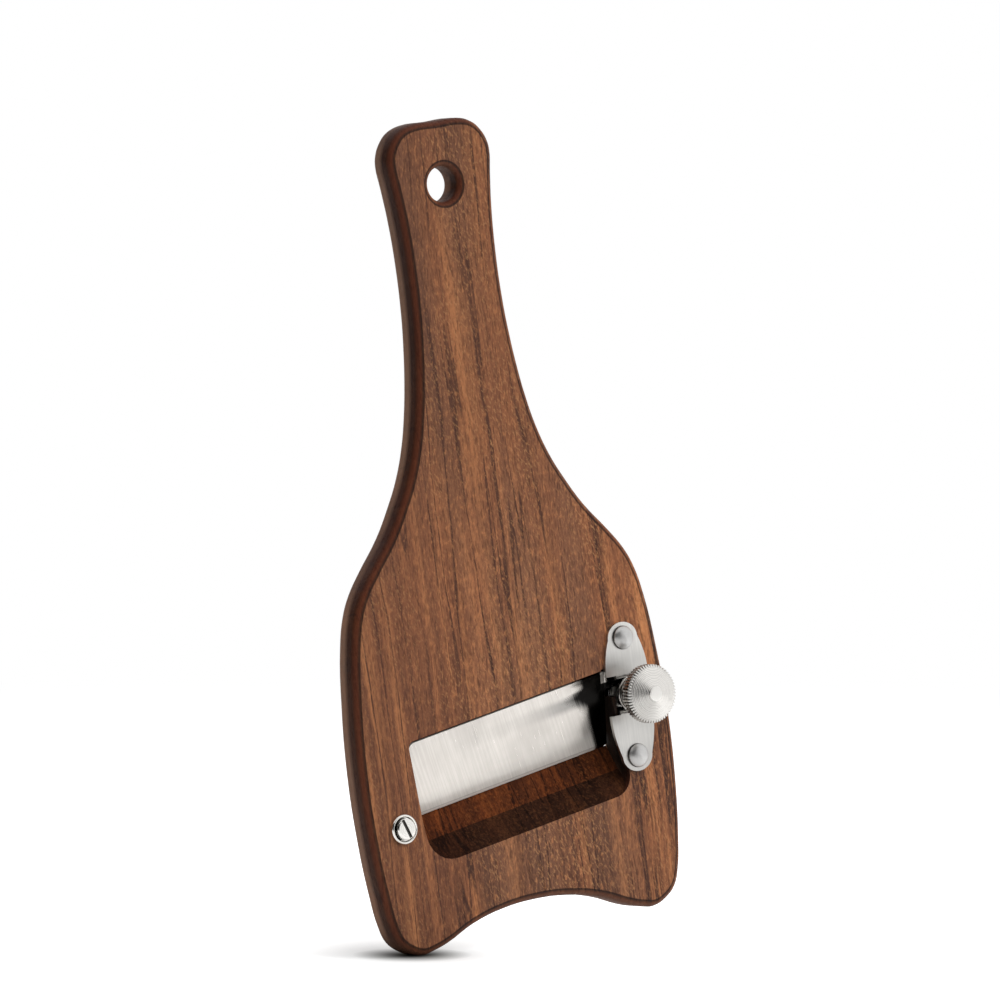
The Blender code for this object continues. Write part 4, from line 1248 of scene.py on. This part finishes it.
@dataclass
class BladeClamp:
    """The slotted screw that pinches the kerf: its cup washer in front, its washer and nut behind.

    Attributes:
        screw_arris, cup_arris, nut_arris: Width of the broken edges of the screw, the cup washer and the nut.
        shank_bore: Bore of the washers.
        head_recess, cup_floor, cup_lip: The cup washer's hollow, its floor's thickness, its lip's shoulders.
        lip_steps: Facets over the lip.
    """

    screw_arris: float = 0.00010
    cup_arris: float = 0.00004
    nut_arris: float = 0.00015
    shank_bore: float = 0.0020
    head_recess: float = 0.00305
    cup_floor: float = 0.0003
    cup_lip: float = 0.0003
    lip_steps: int = 10

    def build(self) -> None:
        """Builds and dresses the four pieces."""
        axis = node_axis("cup_washer")
        polished = TurnedSteelFinish(
            "polished_screw_steel", axis, tone(240, 238, 233), tone(222, 219, 214), 0.14, 0.0006,
            0.000003,
        )
        # The slotted screw gets painted shade in its slot.
        slotted = replace(
            polished, name="slotted_screw_steel", painted_recess_shade=(-0.001, 0.0027, -0.0058), shadow=tone(74, 72, 69)
        )
        plain = PlainSteelFinish("plain_nut_steel")
        screw = SoftenedCopy("clamp_screw", "slotted_screw", self.screw_arris).build()
        dress(screw, Body.PADDLE, Slot.TURNED_STEEL, [slotted], "clamp_screw")
        dress(self.cup_washer(axis), Body.PADDLE, Slot.TURNED_STEEL, [polished], "cup_washer")
        washer = flat_ring("flat_washer", "clamp_washer", node_axis("clamp_washer"), self.shank_bore)
        dress(washer, Body.PADDLE, Slot.PLAIN_STEEL, [plain], "clamp_washer")
        nut = SoftenedCopy("clamp_nut", "hexagon_nut", self.nut_arris).build()
        dress(nut, Body.PADDLE, Slot.PLAIN_STEEL, [plain], "clamp_nut")

    def cup_washer(self, axis: tuple[float, float]) -> Object:
        """Spins the cup washer: a thin floor and a rounded raised lip."""
        low, high = (level - SEAT for level in node_reach("cup_washer"))
        outer = node_radius("cup_washer")
        crown = (outer + self.head_recess) / 2
        half = (outer - self.head_recess) / 2
        rise = high - low - self.cup_lip
        turns = [pi * step / self.lip_steps for step in range(self.lip_steps + 1)]
        profile = [(crown + half * cos(turn), low + self.cup_lip + rise * sin(turn)) for turn in turns] + [
            (self.head_recess, low + self.cup_floor),
            (self.shank_bore, low + self.cup_floor),
            (self.shank_bore, low),
            (outer, low),
        ]
        return TurnedPiece("cup_washer_ring", axis, profile, self.cup_arris, closed=True).build()


def vector(x: float, y: float, z: float) -> Vector:
    """A dataclass field that holds this vector."""
    return field(default_factory=lambda: Vector((x, y, z)))


@dataclass
class Studio:
    """Camera, pale floor, soft lamps and white surroundings.

    Attributes:
        eye, right, up, ahead: Where the camera stands, the picture's right and up, and the way it looks.
        lens, sensor: Focal length and the sensor's width, in millimetres.
        floor_normal, floor_size: The floor's upward direction, and its side.
        floor_paint, floor_shadow: The floor's colour, and the colour of the painted shadow where the slicer touches
            it.
        floor_glow, floor_mirrored: How brightly it glows for the camera and in reflections.
        shadow_size: Radius of the painted soft shadow about the slicer's foot.
        white_from: Distances over which the floor turns white.
        middle: The slicer's middle, which the lamps look at.
        lamps: Each lamp's name, place along the picture's right, up and depth from the middle, side and watts.
        screen_reach, screen_low, screen_high: How far the dark screen stands from the middle, and its edges.
        screen_end, screen_sweep: Where it starts, as a turn towards the camera from the picture's left, and
            how far it curves round from there.
        world_light: How much light the white surroundings give.
    """

    eye: Vector = vector(-1.3769, -2.0814, 0.1105)
    right: Vector = vector(0.82013571, -0.55731602, -0.12952324)
    up: Vector = vector(0.15047867, -0.00830935, 0.98857833)
    ahead: Vector = vector(0.5520268, 0.83025888, -0.07704938)
    lens: float = 351.6
    sensor: float = 36.0
    floor_normal: Vector = vector(0.1116, -0.0662, 0.9916)
    floor_size: float = 60.0
    floor_paint: Colour = (0.80, 0.80, 0.80, 1.0)
    floor_shadow: Colour = (0.030, 0.026, 0.015, 1.0)
    floor_glow: float = 0.85
    floor_mirrored: float = 0.40
    shadow_size: float = 1 / 16
    white_from: Span = (0.35, 0.8)
    middle: Vector = vector(0.0, 0.0, -0.09)
    lamps: tuple[tuple[str, Triple, float, float], ...] = (
        ("key_softbox", (1.30, 0.75, -0.35), 0.90, 17.0),
        ("fill_softbox", (0.35, 0.75, -1.20), 0.90, 8.0),
        ("back_softbox", (-0.80, 0.55, 0.90), 0.50, 2.0),
    )
    screen_reach: float = 1.7
    screen_low: float = -0.6
    screen_high: float = 1.5
    screen_end: float = radians(-40)
    screen_sweep: float = radians(174)
    world_light: float = 0.45

    def build(self) -> None:
        """Sets up the whole studio."""
        bpy.context.scene.view_settings.view_transform = "Standard"
        self.add_camera()
        self.add_floor()
        self.add_world()
        self.add_dark_screen()
        for lamp in self.lamps:
            self.add_lamp(*lamp)

    def add_camera(self) -> None:
        """Stands the camera where the photograph was taken from."""
        data = bpy.data.cameras.new("camera")
        data.lens = self.lens
        data.sensor_width = self.sensor
        data.clip_start, data.clip_end = 0.1, 200.0
        camera = bpy.data.objects.new("camera", data)
        turn = Matrix((self.right, self.up, -self.ahead)).transposed().to_4x4()
        camera.matrix_world = Matrix.Translation(self.eye) @ turn
        bpy.context.scene.collection.objects.link(camera)
        bpy.context.scene.camera = camera

    def add_dark_screen(self) -> None:
        """Stands a curved dark screen at the camera's left, which the steel mirrors and the left side faces."""
        work = bmesh.new()
        outward = -self.right * cos(self.screen_end) - self.ahead * sin(self.screen_end)
        foot = self.middle + outward * self.screen_reach
        low, high = (work.verts.new((foot.x, foot.y, height)) for height in (self.screen_low, self.screen_high))
        edge = work.edges.new((low, high))
        bmesh.ops.spin(
            work, geom=[low, high, edge], cent=self.middle, axis=(0, 0, 1), dvec=(0, 0, 0), angle=self.screen_sweep,
            steps=24, use_merge=False, use_normal_flip=False, use_duplicate=False,
        )
        screen = to_object("dark_screen", work)
        graph = Graph(bpy.data.materials.new("dark_screen"))
        screen.data.materials.append(graph.surface({"Base Color": tone(34, 33, 32), "Roughness": 0.9}))
        screen.visible_camera = False

    def add_lamp(self, name: str, place: Triple, size: float, power: float) -> None:
        """Adds a square soft lamp that looks at the slicer; the steel mirrors the surroundings, not the lamp.

        Args:
            name: The lamp's name.
            place: Where it stands along the picture's right, up and depth, from the slicer's middle.
            size: Its side.
            power: Its power in watts.
        """
        data = bpy.data.lights.new(name, "AREA")
        data.shape = "SQUARE"
        data.size = size
        data.energy = power
        lamp = bpy.data.objects.new(name, data)
        spot = self.middle + self.right * place[0] + self.up * place[1] + self.ahead * place[2]
        turn = (spot - self.middle).to_track_quat("Z", "Y").to_matrix().to_4x4()
        lamp.matrix_world = Matrix.Translation(spot) @ turn
        bpy.context.scene.collection.objects.link(lamp)
        lamp.visible_glossy = False

    def add_floor(self) -> None:
        """Lays the floor under the lowest point of the paddle."""
        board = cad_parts["paddle_board"]
        foot = min((vertex.co for vertex in board.data.vertices), key=lambda point: point.dot(self.floor_normal))
        level = foot.dot(self.floor_normal)
        work = bmesh.new()
        bmesh.ops.create_grid(work, x_segments=8, y_segments=8, size=self.floor_size / 2)
        tilt = self.floor_normal.to_track_quat("Z", "Y").to_matrix().to_4x4()
        bmesh.ops.transform(work, matrix=Matrix.Translation(self.floor_normal * level) @ tilt, verts=work.verts)
        floor = to_object("pale_floor", work)
        floor.data.materials.append(self.floor_material(foot))

    def floor_material(self, foot: Vector) -> bpy.types.Material:
        """A pale floor that shows white, takes the slicer's real shadow, and has a painted shadow about the slicer's
        foot.

        Args:
            foot: Where the slicer touches the floor.

        Returns:
            The floor's material.
        """
        graph = Graph(bpy.data.materials.new("pale_floor"))
        path = graph.node("LightPath")
        camera, glossy = (Value(graph, path.outputs[ray]) for ray in ("Is Camera Ray", "Is Glossy Ray"))
        # Painted shadow about the slicer's foot, darkening both the paint and the glow.
        spread = Pattern((1 / self.shadow_size,) * 3, shift=tuple(foot))
        reach = graph.length(graph.mapped(graph.place(), spread))
        broad = reach.rise(1.0, 0.0)
        contact = (broad * broad * 0.55).larger(reach.rise(0.42, 0.02))
        painted = graph.blend(contact, self.floor_paint, self.floor_shadow)
        paint = graph.node("BsdfDiffuse", None, {"Color": painted})
        glow = (camera * self.floor_glow).larger(glossy * self.floor_mirrored) * (1 - contact)
        lift, white = (
            graph.node("Emission", None, {"Color": WHITE, "Strength": strength})
            for strength in (glow, camera.larger(glossy))
        )
        lit = graph.node("AddShader", None, {0: paint.outputs[0], 1: lift.outputs[0]})
        far = graph.length(graph.place()).rise(*self.white_from)
        return graph.end(graph.node("MixShader", None, {0: far, 1: lit.outputs[0], 2: white.outputs[0]}))

    def add_world(self) -> None:
        """White surroundings for the camera and for reflections, and softer ones for the light they give."""
        world = bpy.data.worlds.new("white_surroundings")
        graph = Graph(world)
        path = graph.node("LightPath")
        camera, glossy, through = (
            Value(graph, path.outputs[ray]) for ray in ("Is Camera Ray", "Is Glossy Ray", "Is Transmission Ray")
        )
        seen = camera.larger(glossy).larger(through)
        strength = graph.node("MapRange", None, {"Value": seen, "To Min": self.world_light})
        sockets = {"Color": WHITE, "Strength": strength.outputs["Result"]}
        graph.end(graph.node("Background", None, sockets), "OutputWorld")
        bpy.context.scene.world = world


def main() -> None:
    """Builds every piece, then the studio."""
    logging.basicConfig(level=logging.INFO, format="%(name)s %(message)s")
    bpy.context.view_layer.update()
    for assembly in (PaddleBoard(), ClampedBlade(), SpindleBracket(), AdjustingKnob(), BladeClamp(), Studio()):
        log.info("building %s", type(assembly).__name__)
        assembly.build()


if __name__ == "__main__":
    main()
